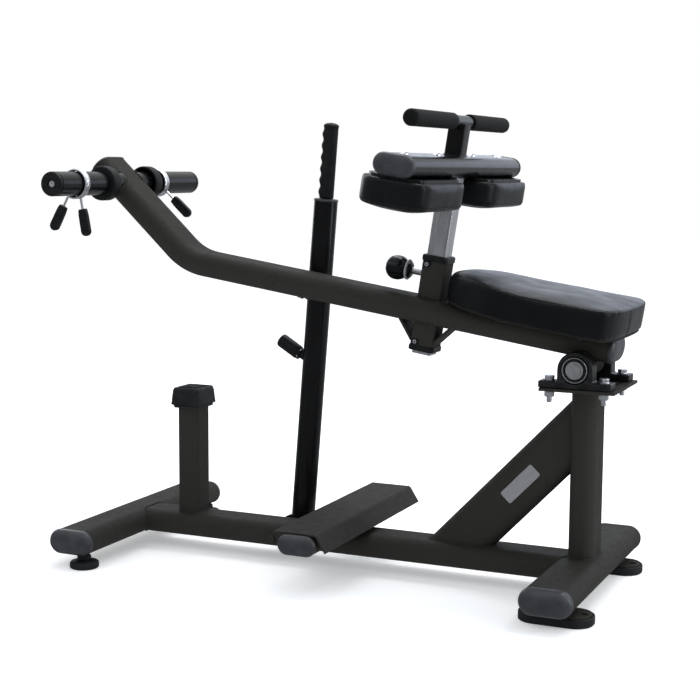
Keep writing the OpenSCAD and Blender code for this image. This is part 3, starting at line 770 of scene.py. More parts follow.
# ---- bearings and fasteners ----

def hex_rings(across, low, high):
    """Hexagon with both rims turned down to a cone."""
    wide = across / 2 / cos(pi / 6)
    soft = across * 0.09
    return [level(hexagon(across, across / 2 * 0.98), low),
            level(hexagon(across, wide), low + soft),
            level(hexagon(across, wide), high - soft),
            level(hexagon(across, across / 2 * 0.98), high)]


def washer(r, bore, low, high):
    e = 0.3 * MM
    return [(bore, low), (r - e, low), (r, low + e), (r, high - e), (r - e, high), (bore, high)]


def bearing_bolts():
    """Bolt head, washer and shank above the plate, nut and washer below it, at each corner."""
    under = span("bearing_plate")[0].z
    low, high = span("bearing_bolts")
    r, bore, shank, edge = 11 * MM, 3 * MM, 5 * MM, 10.5 * MM
    top = high.z
    shape = Shape()
    for x in (low.x + edge, high.x - edge):
        for y in (low.y + edge, high.y - edge):
            place = Matrix.Translation((x, y, 0))
            shape.lathe(washer(r, bore, top - 9 * MM, top - 7 * MM), place, closed=True)
            shape.loft(hex_rings(PIVOT_BOLT_ACROSS, top - 7 * MM, top), place)
            shape.lathe([(shank, low.z + 2 * MM), (shank, top - 6 * MM)], place)
            shape.lathe([(4 * MM, low.z - 3 * MM), (shank, low.z - 2 * MM),
                         (shank, low.z + 3 * MM)], place)
            shape.loft(hex_rings(PIVOT_BOLT_ACROSS, under - 12 * MM, under - 2 * MM), place)
            shape.lathe(washer(r, bore, under - 2 * MM, under), place, closed=True)
    piece("bearing_bolts_hex", shape, "frame", "zinc_steel", replaces=["bearing_bolts"])


def cast_housings():
    """Softens the CAD bearing blocks into castings, and adds their seals."""
    obj = bpy.data.objects.new("bearing_housings_cast",
                               frame["nodes"]["bearing_housings"].data.copy())
    bpy.context.scene.collection.objects.link(obj)
    step = obj.modifiers.new("remesh", "REMESH")
    step.mode = "VOXEL"
    step.voxel_size = 1.5 * MM
    soft = obj.modifiers.new("soften", "SMOOTH")
    soft.factor = 0.5
    soft.iterations = 7
    bake(obj)
    dress(obj, "frame", "gloss_paint", "cast_black", ["bearing_housings"], 80)
    x, z = JOINT["lever_pivot"]["pos_m"][0], JOINT["lever_pivot"]["pos_m"][2]
    face = span("bearing_housings")[1].y
    low, high = span("bearing_inner_rings")
    inner, outer = (high.z - low.z) / 2 + 0.4 * MM, 22.5 * MM
    seal, race = Shape(), Shape()
    for out in (-1, 1):
        place = axes(X * out, Y * out, (x, 0, z))
        seal.lathe(rim(inner, face, (0, -3)) + rim(outer, face, (0, -3), (0, -1.2), (1, -0.8),
                                                   (3, -1.6))
                   + rim(inner, face, (-1, -1.1), (0, -1.5)), place, closed=True)
        race.lathe(rim(outer, face, (0, -3), (-1.7, -3), (-1.7, -0.3), (-1.3, 0.1),
                       (-0.5, 0.1), (0, -0.4)), place, closed=True)
    piece("bearing_seals", seal, "frame", "black_plastic")
    piece("bearing_outer_races", race, "frame", "zinc_steel")


# ---- rear feet and levelling feet ----

def slot_cuts(low, high, y):
    """Two slots for floor bolts."""
    shape = Shape()
    for side in (-1, 1):
        shape.loft([level(oval(16 * MM, 9 * MM), z) for z in (low, high)],
                   Matrix.Translation((side * REAR_SLOT_REACH, y, 0)))
    return shape


def rear_feet():
    flange_low, flange_high = span("rear_foot_flanges")
    rubber_low, rubber_high = span("rear_rubber_feet")
    w, d = 142 * MM, 80 * MM
    pad = (rubber_high.x - rubber_low.x) / w
    y = rubber_high.y - d / 2
    top = rubber_high.z
    for side, name in ((-1, "left"), (1, "right")):
        place = Matrix.Translation((0, side * y, 0))
        rings = [level(rounded(w - 2 * i, d - 2 * i, 36 * MM - i), z * pad) for i, z in (
            (1.6 * MM, 0), (0.3 * MM, 1.2 * MM), (0, 3 * MM), (0, top), (0.5 * MM, top + 1.6 * MM),
            (1.6 * MM, top + 2.4 * MM), (3 * MM, top + 2.4 * MM), (4 * MM, top + 1.4 * MM),
            (4.6 * MM, top))]
        obj = scratch("rear_rubber_" + name, Shape().loft(rings, place))
        cut_out(obj, slot_cuts(-MM, 30 * MM, side * y))
        dress(obj, "frame", "foot_rubber", replaces=["rear_rubber_feet"])
        shape = slab(rounded(132 * MM, 70 * MM, 30 * MM), flange_low.z, flange_low.z + 5 * MM,
                     1.2 * MM, place)
        obj = scratch("rear_flange_" + name, shape)
        cut_out(obj, slot_cuts(0, 40 * MM, side * y))
        dress(obj, "frame", "frame_paint", replaces=["rear_foot_flanges"])
        stem = Shape().loft([level(rounded(*FOOT_STEM), z)
                             for z in (flange_low.z + 4 * MM, flange_high.z + 2 * MM)], place)
        piece("rear_stem_" + name, stem, "frame", "frame_paint")


def levelling_feet():
    """Rubber disc, threaded stem and nut of each."""
    neck, pitch = 14 * MM, 1.4 * MM
    for name in ("levelling_foot_left", "levelling_foot_right"):
        low, high = span(name)
        place = Matrix.Translation(((low.x + high.x) / 2, (low.y + high.y) / 2, 0))
        r = (high.x - low.x) / 2
        disc = mm((0.5, 0)) + rim(r, 0, (2.6, 0), (0.8, 1.2), (0, 3), (0, 10), (0.6, 12),
                                  (2.4, 13.6), (5, 14.2))
        disc += mm((15, 15), (13.6, 15.4), (0.5, 15.4))
        piece(name + "_disc", Shape().lathe(disc, place), name, "foot_rubber",
              replaces=[name])
        stem = [(0.5 * MM, neck)]
        z = 21 * MM
        while z < high.z - 2 * MM:
            stem += [(5.3 * MM, z), (6 * MM, z + pitch / 2)]
            z += pitch
        stem += [(0.5 * MM, high.z)]
        piece(name + "_stem", Shape().lathe(stem, place, 24), name, "zinc_steel")
        nut = Shape().loft(hex_rings(LEVELLING_NUT_ACROSS, 14.4 * MM, 26.6 * MM), place)
        piece(name + "_nut", nut, name, "black_plastic")


# ---- socket, post and pull pin ----

def square_tube(shape, w, bore, outer_corner, inner_corner, low, high):
    """Adds an upright square tube in the lever's axes."""
    return shape.loft(hollow(lambda i: rounded(w - 2 * i, w - 2 * i, outer_corner),
                             lambda i: rounded(bore + 2 * i, bore + 2 * i, inner_corner),
                             low, high), LEVER, closed=True)


def socket():
    low, high = span("post_socket", LEVER)
    w, _, corner = SQUARE
    bore = 44 * MM
    shape = square_tube(Shape(), w, bore, corner, 3 * MM, low.z, high.z)
    piece("post_socket_rounded", shape, "lever", "frame_paint", replaces=["post_socket"])
    lip_low, lip_high = span("post_bushings", LEVER)
    outer = lambda i: rounded(54 * MM - 2 * i, 54 * MM - 2 * i, 6.5 * MM)
    inner = lambda i: rounded(40.8 * MM + 2 * i, 40.8 * MM + 2 * i, 3 * MM)
    edge = 2.4 * MM
    shape = Shape()
    for base, tip, end in ((high.z, lip_high.z, 1), (low.z, lip_low.z, -1)):
        rings = [level(inner(0), base), level(outer(0.6 * MM), base),
                 level(outer(0), base + end * 0.8 * MM), level(outer(0), tip - end * edge),
                 level(outer(0.7 * MM), tip - end * 0.8 * MM), level(outer(edge), tip),
                 level(inner(1.4 * MM), tip), level(inner(0.4 * MM), tip - end * 0.4 * MM),
                 level(inner(0), tip - end * 1.4 * MM)]
        shape.loft(rings, LEVER, closed=True)
        neck = rounded(bore, bore, 3 * MM)
        reach = base - end * 22 * MM
        shape.loft([level(inner(0), base), level(neck, base), level(neck, reach),
                    level(inner(0), reach)], LEVER, closed=True)
        face = LEVER @ axes(X * end, -Y)
        tab = rounded(17 * MM, 14 * MM, 5 * MM)
        place = face @ Matrix.Translation((-14 * MM * end, (base - end * 6 * MM) * end, 0))
        slab(tab, 24.6 * MM, 26.3 * MM, 0.8 * MM, place, shape)
    piece("post_bushings_moulded", shape, "lever", "black_plastic",
          replaces=["post_bushings"])


def post():
    low, high = span("pad_post", LEVER)
    obj = scratch("pad_post_brushed", square_tube(Shape(), 40 * MM, 34 * MM, 4 * MM, 2 * MM,
                                                  low.z, high.z))
    pin = span("pull_pin_rod", LEVER)
    first = (pin[0].z + pin[1].z) / 2
    cuts = Shape()
    spacing = 25 * MM
    for k in range(-3, 4):
        place = LEVER @ axes(Z, -X, (0, 0, first + k * spacing))
        cuts.lathe(mm((5.5, 8), (5.5, 19.4), (6.4, 20.4), (6.4, 26)), place, 32)
    cut_out(obj, cuts)
    dress(obj, "knee_pad_carriage", "brushed_post", replaces=["pad_post"])


def knob():
    """Neck, pale ring, lobed body and pale end disc, from the socket outwards."""
    low, high = span("pull_pin_knob", LEVER)
    rod = span("pull_pin_rod", LEVER)
    z = (rod[0].z + rod[1].z) / 2
    place = LEVER @ axes(Z, -X, (high.x, 0, z))
    length = high.x - low.x
    flange = mm((4.3, 0), (13, 0), (15.5, 1.5), (17, 5), (17, 9), (4.3, 9))
    piece("pull_pin_knob_neck", Shape().lathe(flange, place), "pull_pin", "gloss_paint")
    ring = mm((10, 5.4), (19.6, 5.4), (20.8, 6.4), (20.8, 8.8), (20, 9.8), (10, 9.8))
    piece("pull_pin_knob_ring", Shape().lathe(ring, place), "pull_pin", "end_cap_plastic",
          "pale_plastic")
    count, first, centre, sides = 22, 9 * MM, 31 * MM, 72
    rings = []
    for k in range(count + 1):
        h = first + (length - first) * (0.5 - 0.5 * cos(pi * (0.07 + 0.93 * k / count)))
        if k == 0:
            h = first
        r = 25 * MM * max(0.02, 1 - abs((h - centre) / (24.5 * MM)) ** 2.3) ** 0.5
        r = max(r, 8.4 * MM)
        depth = 0.075 * sin(pi * min(1, max(0, (h - first) / (length - first))))
        ring = []
        for i in range(sides):
            a = 2 * pi * i / sides
            lobe = 1 - depth * (0.5 + 0.5 * cos(6 * a)) ** 5
            ring.append((r * lobe * cos(a), r * lobe * sin(a), h))
        rings.append(ring)
    piece("pull_pin_knob_lobed", Shape().loft(rings, place), "pull_pin", "gloss_paint",
          replaces=["pull_pin_knob"])
    disc = rim(0, length, (-0.3, -2), (-7.6, -2), (-8.2, -0.4), (-7.6, 0), (-0.3, 0))
    piece("pull_pin_knob_disc", Shape().lathe(disc, place), "pull_pin", "end_cap_plastic",
          "pale_plastic")


# ---- handle ----

def handle():
    low = span("handle_post", LEVER)[0]
    bar_low, bar_high = span("handle_bar", LEVER)
    s = (bar_low.z + bar_high.z) / 2
    shape = Shape().loft([level(rounded(*HANDLE_TUBE), z) for z in (low.z, s - 4 * MM)], LEVER)
    piece("handle_post_rounded", shape, "knee_pad_carriage", "gloss_paint",
          replaces=["handle_post"])
    grip_low, grip_high = span("handle_grips", LEVER)
    r = (grip_high.z - grip_low.z) / 2
    end, start, soft = grip_high.y, 48 * MM, 9 * MM
    profile = [(12.6 * MM, start + MM), (13.4 * MM, start)]
    profile += rim(r, start, (1.6, 0), (0.4, 0.6), (0, 2))
    profile += [(r, start + (end - start) * k / 12) for k in range(1, 12)]
    profile += [(r - soft * u, end - soft * v * 0.9) for u, v in quarter(8)]
    profile += rim(0, end, (-4, -0.2), (-2.6, -0.7), (-1, -1.4), (-0.2, -1.5))
    shape = Shape()
    for side in (-1, 1):
        shape.lathe(profile, LEVER @ axes(X * side, Y * side, (0, 0, s)), 40)
    piece("handle_grips_foam", shape, "knee_pad_carriage", "grip_foam",
          replaces=["handle_grips"])


# ---- safety catch ----

def catch_cap():
    low, high = span("catch_tube_cap", CATCH_TUBE)
    r = (high.y - low.y) / 2
    ring = [(10 * MM, low.z)] + rim(r, low.z, (0.6, 0), (0, 0.8))
    ring += rim(r, high.z, (0, -2), (0.8, -0.6), (2.4, 0))
    ring += rim(0, high.z, (-13, 0), (-10.6, -0.8), (-10, -1.4))
    piece("catch_tube_cap_moulded", Shape().lathe(ring, CATCH_TUBE, closed=True),
          "safety_catch", "end_cap_plastic", replaces=["catch_tube_cap"])


def catch_grip():
    """Soft grip with finger waves on its front and a domed top."""
    low, high = span("catch_grip", CATCH_TUBE)
    length = high.z - low.z
    count, sides = 150, 48
    dome, finger = 7 * MM, 24 * MM
    rings = []
    for k in range(count + 1):
        h = length * k / count
        cap = 1 / (1 + exp(-(h - length + 9 * MM) / (0.8 * MM)))
        foot = min(1, h / (2.5 * MM))
        top = max(0, (h - length + dome) / dome)
        r = 15.4 * MM + 0.9 * MM * cap
        r *= 0.9 + 0.1 * sqrt(1 - (1 - foot) ** 2)
        r *= sqrt(max(0.02, 1 - top ** 2 * 0.98))
        wave = 0.5 + 0.5 * cos(2 * pi * (h - 14 * MM) / finger)
        inside = 1 / (1 + exp((h - length + 14 * MM) / (1.5 * MM)))
        ring = []
        for i in range(sides):
            a = 2 * pi * i / sides
            facing = max(0, -cos(a)) ** 1.3
            out = r + 3.1 * MM * facing * (wave - 0.15) * inside * foot
            ring.append((out * cos(a), out * sin(a), low.z + h))
        rings.append(ring)
    piece("catch_grip_moulded", Shape().loft(rings, CATCH_TUBE), "safety_catch", "black_plastic",
          "soft_rubber", ["catch_grip"])


def catch_pegs():
    """Covers of the two pegs, and the small screws around their collars."""
    covers, screws = Shape(), Shape()
    r, soft = 15 * MM, 6.5 * MM
    head = mm((0.3, 0), (2, 0), (2, 1), (1.5, 1.5), (0.3, 1.6))
    for place, start, length in peg_places():
        end = start + length
        profile = rim(r, start, (6.8, 1), (6, 0), (2.4, 0), (1.8, 0.6), (1.8, 5), (0.4, 6.4),
                      (0, 7.4))
        profile += [(r - soft * u, end - soft * v) for u, v in quarter(6)]
        profile += rim(0, end, (-6, 0.3), (-0.3, 0.4))
        covers.lathe(profile, place, 40)
        for a in (-50, 20, 90, 160, 230):
            spot = place @ Matrix.Rotation(radians(a), 4, "Z") @ axes(
                Z, X, (12.4 * MM, 0, start + 2.6 * MM))
            screws.lathe(head, spot, 16)
    piece("catch_peg_covers_moulded", covers, "safety_catch", "black_plastic",
          replaces=["catch_peg_covers"])
    piece("catch_peg_screws", screws, "safety_catch", "zinc_steel")


def peg_places():
    """Axes of each peg, where its cover starts along it, and how long the cover is."""
    ahead = Vector((-cos(PEG_SLOPE), 0, sin(PEG_SLOPE)))
    covers = loose_parts("catch_peg_covers")
    middle = CATCH_TUBE.translation
    lean = CATCH_TUBE.to_3x3() @ Z
    found = []
    for points in covers:
        centre = sum(points, Vector()) / len(points)
        flat = Vector((lean.x, lean.z)), Vector((ahead.x, ahead.z))
        gap = Vector((centre.x - middle.x, centre.z - middle.z))
        cross = flat[0].x * flat[1].y - flat[0].y * flat[1].x
        along = (gap.x * flat[1].y - gap.y * flat[1].x) / cross
        start = middle + lean * along
        place = axes(Y, ahead, (start.x, centre.y, start.z))
        low, high = corners([place.inverted() @ p for p in points])
        found.append((place, low.z, high.z - low.z))
    return found


def loose_parts(node):
    """Points of each separate solid of a CAD node."""
    work = bmesh.new()
    work.from_mesh(frame["nodes"][node].data)
    bmesh.ops.remove_doubles(work, verts=work.verts, dist=1e-5)
    found, groups = set(), []
    for first in work.verts:
        if first in found:
            continue
        found.add(first)
        stack, group = [first], []
        while stack:
            vert = stack.pop()
            group.append(vert.co.copy())
            for edge in vert.link_edges:
                other = edge.other_vert(vert)
                if other not in found:
                    found.add(other)
                    stack.append(other)
        groups.append(group)
    work.free()
    return sorted(groups, key=lambda g: min(p.z for p in g))


# ---- weight sleeves and collars ----

def sleeves():
    """Stop ring beside the lever and cap on the outer end of each weight sleeve."""
    low, high = span("weight_flanges")
    x, z = (low.x + high.x) / 2, (low.z + high.z) / 2
    r, inner, outer = (high.z - low.z) / 2, high.y - 27 * MM, high.y
    far = span("sleeve_end_caps")[1].y
    ring = [(24.1 * MM, outer), (24.1 * MM, inner + 16 * MM), (31 * MM, inner + 16 * MM),
            (32 * MM, inner + 15 * MM), (32 * MM, inner + MM), (33 * MM, inner)]
    ring += [(r - 3 * MM * v, inner + 3 * MM * u) for u, v in quarter(5)]
    ring += [(r - 4 * MM * u, outer - 4 * MM * v) for u, v in quarter(5)]
    cap = rim(0, far, (-0.3, -8), (-24.8, -8), (-25, -2), (-24.4, -0.6), (-23, 0), (-11, 0),
              (-9.4, -0.6), (-8.4, -2.4), (-8, -6), (-0.3, -6))
    rings, caps = Shape(), Shape()
    for side in (-1, 1):
        place = axes(X * side, Y * side, (x, 0, z))
        rings.lathe(ring, place, 64, closed=True)
        caps.lathe(cap, place, 48)
    piece("weight_flanges_rounded", rings, "lever", "black_plastic", "soft_rubber",
          ["weight_flanges"])
    piece("sleeve_end_caps_moulded", caps, "lever", "black_plastic",
          replaces=["sleeve_end_caps"])


def smoothed(points):
    """Cuts the corners of an open path twice."""
    for _ in range(2):
        made = [points[0]]
        for a, b in zip(points, points[1:]):
            made += [a.lerp(b, 0.25), a.lerp(b, 0.75)]
        points = made + [points[-1]]
    return points


def collars():
    """Spring wire of three turns whose ends stand out as arms, with a flat grip on each."""
    sleeve, flange = span("weight_sleeves"), span("weight_flanges")
    x, z = (flange[0].x + flange[1].x) / 2, (sleeve[0].z + sleeve[1].z) / 2
    wire, half, grip = 2.75 * MM, 8.4 * MM, 53 * MM
    turns, steps, lead = 3, 150, 0.25
    for name, arms in COLLAR_ARMS.items():
        low, high = span("collar_spring_" + name)
        place = axes(X, Y, (x, (low.y + high.y) / 2, z))
        coil = high.z - z - wire - 0.2 * MM
        first, last = (radians(a) for a in arms)
        turn = last - first + 2 * pi * turns

        def spoke(angle, height, *radii):
            return [Vector((r * cos(angle), r * sin(angle), height)) for r in radii]

        path = spoke(first, half, grip + 8 * MM, grip - 4 * MM, coil + 6 * MM, coil)
        for k in range(steps + 1):
            f = k / steps
            path += spoke(first + lead + (turn - 2 * lead) * f, half - 2 * half * f, coil)
        path += spoke(last, -half, coil, coil + 6 * MM, grip - 4 * MM, grip + 8 * MM)
        shape = Shape().tube([place @ p for p in smoothed(path)], wire, 10)
        piece(f"collar_spring_{name}_wound", shape, "collar_" + name, "bright_chrome",
              replaces=["collar_spring_" + name])
        shape = Shape()
        for a, end in ((first, 1), (last, -1)):
            stand = place @ Matrix.Rotation(a, 4, "Z") @ axes(
                Y, Z, (grip, 0, end * half - 5.5 * MM))
            slab(grip_outline(), 0, 11 * MM, 2.2 * MM, stand, shape)
        piece(f"collar_grips_{name}_moulded", shape, "collar_" + name, "black_plastic",
              replaces=["collar_handles_" + name])


def grip_outline():
    """Plan of a collar grip: round at its tip and necked in towards the wire."""
    r, tip = 10.5 * MM, 56.5 * MM
    outline = [(-r * cos(b), -tip + r - r * sin(b)) for b in (k / 12 * pi for k in range(13))]
    return outline + mm((10, -12), (8.6, -2), (7, 0), (-7, 0), (-8.6, -2), (-10, -12))


# ---- upholstery ----

def even(points, step, closed=True):
    """Resamples a path so that its points lie about one step apart."""
    points = list(points) + ([points[0]] if closed else [])
    runs = [(b - a).length for a, b in zip(points, points[1:])]
    total = sum(runs)
    count = max(3, round(total / step))
    made, i, passed = [], 0, 0.0
    for k in range(count + (0 if closed else 1)):
        want = total * k / count
        while i < len(runs) - 1 and passed + runs[i] < want:
            passed += runs[i]
            i += 1
        f = min(1, (want - passed) / runs[i]) if runs[i] else 0
        made.append(points[i].lerp(points[i + 1], f))
    return made


def cad_outline(node, place, step):
    """Plan of a CAD cushion in local axes, counterclockwise and evenly spaced."""
    flat = sorted({(round(p.x, 5), round(p.y, 5)) for p in points_of(node, place)})

    def half_hull(points):
        made = []
        for x, y in points:
            while len(made) > 1:
                (ax, ay), (bx, by) = made[-2:]
                if (bx - ax) * (y - ay) - (by - ay) * (x - ax) > 0:
                    break
                made.pop()
            made.append((x, y))
        return made[:-1]

    hull = half_hull(flat) + half_hull(flat[::-1])
    return [(p.x, p.y) for p in even([Vector(p) for p in hull], step)]


def cushion_start(outline, base, seam, face, crown):
    """Closed starting shape of a pad: walls up to the seam, and a rounded face above."""
    low, high = corners([Vector((x, y, 0)) for x, y in outline])
    centre = (low + high) / 2

    def ring(i, height):
        return [(x, y, height(x, y)) for x, y in inset(outline, i)]

    def between(f):
        return lambda x, y: seam(x, y) + (face(x, y) - seam(x, y)) * f

    rings = [ring(6 * MM, lambda x, y: base), ring(2 * MM, lambda x, y: base + 0.6 * MM),
             ring(1 * MM, lambda x, y: base + 2.5 * MM)]
    rings += [ring(1 * MM, lambda x, y, f=f: base + (seam(x, y) - base) * f)
              for f in (0.3, 0.6, 0.9)]
    rings += [ring(1.6 * MM, lambda x, y: seam(x, y)), ring(2 * MM, between(0.2)),
              ring(3.4 * MM, between(0.5)), ring(6.5 * MM, between(0.8)),
              ring(12 * MM, between(0.96))]
    last = inset(outline, 12 * MM)
    for k in (0.93, 0.85, 0.76, 0.66, 0.55, 0.43, 0.3, 0.17, 0.04):
        spots = [(centre.x + (x - centre.x) * k, centre.y + (y - centre.y) * k)
                 for x, y in last]
        rings.append([(x, y, face(x, y) + crown * (1 - k * k)) for x, y in spots])
    return Shape().loft(rings)


def inflate(obj, pinned, cap):
    """Blows the pad up as cloth under pressure and lets no point move beyond the cap."""
    start = [v.co.copy() for v in obj.data.vertices]
    group = obj.vertex_groups.new(name="pins")
    for i, co in enumerate(start):
        weight = pinned(co)
        if weight > 0:
            group.add([i], weight, "REPLACE")
    cloth = obj.modifiers.new("cloth", "CLOTH")
    settings = cloth.settings
    settings.use_pressure = True
    settings.uniform_pressure_force = 4
    settings.vertex_group_mass = "pins"
    settings.effector_weights.gravity = 0
    settings.quality = 5
    cloth.collision_settings.use_collision = False
    cloth.collision_settings.use_self_collision = False
    scene, frames = bpy.context.scene, 20
    cloth.point_cache.frame_start, cloth.point_cache.frame_end = 1, frames
    for k in range(1, frames + 1):
        scene.frame_set(k)
    bake(obj)
    scene.frame_set(1)
    for v, co in zip(obj.data.vertices, start):
        move = v.co - co
        if move.length > cap:
            v.co = co + move * (cap / move.length)


def sew(name, place, tree, paths, side, body, slot):
    """A folded seam line and a row of stitches beside it, along each path."""
    fold, stitches = Shape(), Shape()
    for path, closed, away in paths:
        spots = [tree.find_nearest(p)[:2] for p in even(path, 2.2 * MM, closed)]
        fold.tube([p - n * 0.45 * MM for p, n in spots], 0.85 * MM, 6, closed)
        for i in range(0, len(spots) - 2, 3):
            for offset in side:
                ends = []
                for p, n in spots[i:i + 2]:
                    hit, normal, _, _ = tree.find_nearest(p + away(n) * offset)
                    ends.append(hit + normal * 0.12 * MM)
                a, b = ends
                run = b - a
                if run.length < 0.5 * MM:
                    continue
                a, b = a - run * 0.12, b + run * 0.3
                middle = (a + b) / 2
                stitches.tube([a, a.lerp(middle, 0.4), middle, b.lerp(middle, 0.4), b],
                              lambda k: (0.22, 0.5, 0.56, 0.5, 0.22)[k] * MM, 6)
    for label, shape, look in (("fold", fold, "seam_fold"), ("stitching", stitches, "thread")):
        shape.verts = [place @ Vector(v) for v in shape.verts]
        piece(f"{name}_{label}", shape, body, slot, look, sharp=80)


def upholster(name, node, place, body, base, seam, face, crown, cap, uprights,
              puckers):
    """One padded piece: starting shape, cloth simulation, seam grooves and stitches."""
    outline = cad_outline(node, place, 5 * MM)
    obj = scratch(name, cushion_start(outline, base, seam, face, crown))
    step = obj.modifiers.new("remesh", "REMESH")
    step.mode = "VOXEL"
    step.voxel_size = 5 * MM
    bake(obj)
    border = KDTree(len(outline))
    for i, (x, y) in enumerate(outline):
        border.insert((x, y, 0), i)
    border.balance()

    def pinned(co):
        if co.z < base + 2.5 * MM:
            return 1
        _, _, gap = border.find((co.x, co.y, 0))
        return 1 if gap < 6 * MM and abs(co.z - seam(co.x, co.y)) < 2.6 * MM else 0

    inflate(obj, pinned, cap)
    soft = obj.modifiers.new("soften", "SMOOTH")
    soft.factor = 0.5
    soft.iterations = 2
    fine = obj.modifiers.new("fine", "SUBSURF")
    fine.levels = fine.render_levels = 1
    bake(obj)
    ring = [Vector((x, y, seam(x, y))) for x, y in even_outline(outline, 2.5 * MM)]
    lines = [ring]
    for x, y in uprights:
        _, i, _ = border.find((x, y, 0))
        x, y = outline[i]
        top = seam(x, y) - 0.5 * MM
        bottom = base + 2 * MM
        lines.append([Vector((x, y, bottom + (top - bottom) * k / 14)) for k in range(15)])
    groove = KDTree(sum(len(line) for line in lines))
    along, i = [], 0
    for line in lines:
        passed = 0.0
        for k, p in enumerate(line):
            passed += (p - line[k - 1]).length if k else 0.0
            groove.insert(p, i)
            along.append(passed)
            i += 1
    groove.balance()
    obj.data.update()
    moves = []
    for v in obj.data.vertices:
        p, i, gap = groove.find(v.co)
        move = Vector()
        if gap < 14 * MM:
            ripple = sin(along[i] * 2 * pi / (19 * MM)) + 0.6 * sin(along[i] * 2 * pi / (11.7 * MM))
            near = exp(-(gap / (2.6 * MM)) ** 2)
            wide = exp(-((gap - 6 * MM) / (5 * MM)) ** 2)
            move = v.normal * (-0.9 * MM * near + puckers * ripple * wide)
        moves.append(move)
    for v, move in zip(obj.data.vertices, moves):
        v.co += move
        if v.co.z < base + 0.05 * MM:
            v.co.z = base + 0.05 * MM
    obj.data.update()
    tree = BVHTree.FromPolygons([v.co for v in obj.data.vertices],
                                [tuple(f.vertices) for f in obj.data.polygons])

    def below(n):
        return -(Z - n * n.z).normalized()

    def beside(n):
        return n.cross(Z).normalized()

    sew(name, place, tree, [(ring, True, below)], (2.6 * MM,), body, "leatherette")
    sew(name + "_upright", place, tree, [(line, False, beside) for line in lines[1:]],
        (2.4 * MM, -2.4 * MM), body, "leatherette")
    obj.data.transform(place)
    dress(obj, body, "leatherette", replaces=[node], sharp=75)


def even_outline(outline, step):
    return [(p.x, p.y) for p in even([Vector(p) for p in outline], step)]


def seat():
    low, high = span("seat_cushion", LEVER)
    front = low.x
    hump = front + 102 * MM
    rise, wave = 3.2 * MM, 242 * MM
    middle = high.z - 5.5 * MM

    def seam(x, y):
        if x >= hump:
            return middle + rise * cos(2 * pi * (x - hump) / wave)
        return middle + rise - 13.7 * MM * ((hump - x) / (79 * MM)) ** 1.35

    def face(x, y):
        swell = 6 * MM * exp(-((x - front - 69 * MM) / (62 * MM)) ** 2)
        return high.z - 2.5 * MM + swell

    base = span("seat_board", LEVER)[0].z + 3.5 * MM
    upholster("seat_cushion_sewn", "seat_cushion", LEVER, "lever", base, seam, face,
              1.5 * MM, 6 * MM, [(high.x, -32 * MM), (high.x, 118 * MM)], 0.12 * MM)


def knee_pads():
    """Their padded faces look down at the knees, so their local Z does too."""
    over = LEVER @ Matrix.Rotation(pi, 4, "X")
    for node in ("knee_cushion_left", "knee_cushion_right"):
        low, high = span(node, over)
        outer = low.y if abs(low.y) > abs(high.y) else high.y
        seam = lambda x, y: high.z - 5.5 * MM
        face = lambda x, y: high.z + 0.5 * MM
        base = span("knee_boards", over)[0].z + 5.5 * MM
        upholster(node + "_sewn", node, over, "knee_pad_carriage", base, seam, face,
                  1.5 * MM, 6 * MM, [(low.x + 77 * MM, outer)], 0.12 * MM)


# ---- weld beads ----

def surface(node):
    data = frame["nodes"][node].data
    return BVHTree.FromPolygons([v.co for v in data.vertices],
                                [tuple(f.vertices) for f in data.polygons])


def bead(shape, outline, place, target, radius, seed):
    """Rough bead where a tube of that outline, run along local Z, meets another part."""
    tree = surface(target)
    ahead = place.to_3x3() @ Z
    hits = []
    for x, y in even_outline(outline, 1.6 * MM):
        hit, _, _, _ = tree.ray_cast(place @ Vector((x, y, 0)), ahead, 0.5)
        hits.append(hit)
    whole = all(h is not None for h in hits)
    runs = [[]]
    for h in hits:
        if h is None or (runs[-1] and (h - runs[-1][-1]).length > 9 * MM):
            runs.append([])
        if h is not None:
            runs[-1].append(h)
    if not whole and len(runs) > 1 and hits[0] is not None and hits[-1] is not None:
        runs[0] = runs.pop() + runs[0]
    for run in runs:
        if len(run) < 6:
            continue
        closed = whole and len(runs) == 1
        run = even(run, 1.3 * MM, closed)

        def thick(i):
            return radius * (1 + 0.13 * sin(i * 1.35 + seed) + 0.07 * sin(i * 0.37 + 2 * seed))

        shape.tube(run, thick, 8, closed)
    return shape


